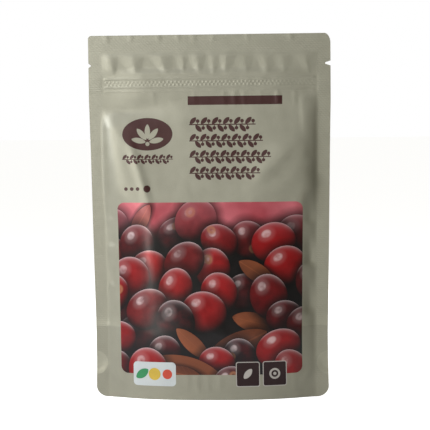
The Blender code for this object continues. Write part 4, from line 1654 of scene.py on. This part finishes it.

# %% [markdown]
# ## The zip's plastic and the dried berries
#
# Both are closed in, so only a cut pouch would show them. The zip is extruded from milky polyethylene,
# which leaves fine lines along its length: a noise that is stretched along X. The dried berries are
# wrinkled and glossy: a cell pattern makes the wrinkles, and the same pattern paints shade into the
# folds, nearly black.

# %% A material made of one pattern
def pattern_material(name, under, over, pattern, bump, gloss):
    """A material whose pattern blends two colours, raises a bump and changes the roughness."""
    material, tree = new_material(name)
    shader = tree.nodes["Principled BSDF"]
    place = dim(tree, node(tree, "ShaderNodeTexCoord").outputs["Object"], 1.0 / MM)
    share = pattern(tree, place)
    set_or_link(tree, shader.inputs["Base Color"], mix(share, under, over))
    set_or_link(tree, shader.inputs["Normal"], raised(tree, share, bump))
    set_or_link(tree, shader.inputs["Roughness"], remap(share, 0.0, 1.0, *gloss))
    print(name, "has", len(tree.nodes), "nodes")
    return material


# %% The zip's plastic
MILKY = (0.70, 0.71, 0.67, 1.0)
MILKY_SHADE = (0.52, 0.53, 0.49, 1.0)
LINES_STRETCH = (0.08, 4.0, 4.0)
LINES = (1.0, 3.0)
LINES_SHARP = (0.3, 0.7)
LINE_HEIGHT = 0.02
ZIP_GLOSS = (0.42, 0.34)


def drawn_lines(tree, place):
    """Fine lines along the zip, as it leaves the extruder."""
    place = vector_maths(tree, "MULTIPLY", place, LINES_STRETCH)
    return remap(noise(tree, place, *LINES), *LINES_SHARP, soft=True)


zip_plastic = pattern_material("milky_zip_plastic", MILKY_SHADE, MILKY, drawn_lines, LINE_HEIGHT, ZIP_GLOSS)
for strip in (rib, groove):
    strip.data.materials.append(zip_plastic)

# %% The skin of the dried berries
# Painted shade: the folds between the wrinkles are coloured nearly black.
BERRY_FOLD_PAINTED_SHADE = (0.020, 0.002, 0.003, 1.0)
BERRY_SKIN = (0.20, 0.012, 0.014, 1.0)
WRINKLE_BEND = {"Scale": 0.35, "Detail": 2.0}
WRINKLE_BEND_REACH = 2.0
WRINKLES_TO_A_MM = 0.42
WRINKLE_WIDTH = (0.02, 0.28)
WRINKLE_HEIGHT = 0.35
SKIN_GLOSS = (0.5, 0.3)


def wrinkles(tree, place):
    """The wrinkles of a dried berry: 0 in the folds, where shade is painted, and 1 on the skin between them.
    """
    bend = node(tree, "ShaderNodeTexNoise", {"Vector": place, **WRINKLE_BEND}).outputs["Color"]
    place = vector_maths(tree, "ADD", place, dim(tree, bend, WRINKLE_BEND_REACH))
    inputs = {"Vector": place, "Scale": WRINKLES_TO_A_MM}
    cells = node(tree, "ShaderNodeTexVoronoi", inputs, feature="DISTANCE_TO_EDGE")
    return remap(Number(tree, cells.outputs["Distance"]), *WRINKLE_WIDTH, soft=True)


berry_skin = pattern_material(
    "wrinkled_berry_skin", BERRY_FOLD_PAINTED_SHADE, BERRY_SKIN, wrinkles, WRINKLE_HEIGHT, SKIN_GLOSS,
)
berries = bpy.data.objects["cranberry_fill"]
for slot in berries.material_slots:
    slot.material = berry_skin
print("berries wear:", [slot.material.name for slot in berries.material_slots])

# %% Sizes and the end
now_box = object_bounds()
grown = [new - old for old, new in zip((*cad_box[0], *cad_box[1]), (*now_box[0], *now_box[1]))]
print("grown by mm:", [round(change / MM, 2) for change in grown])
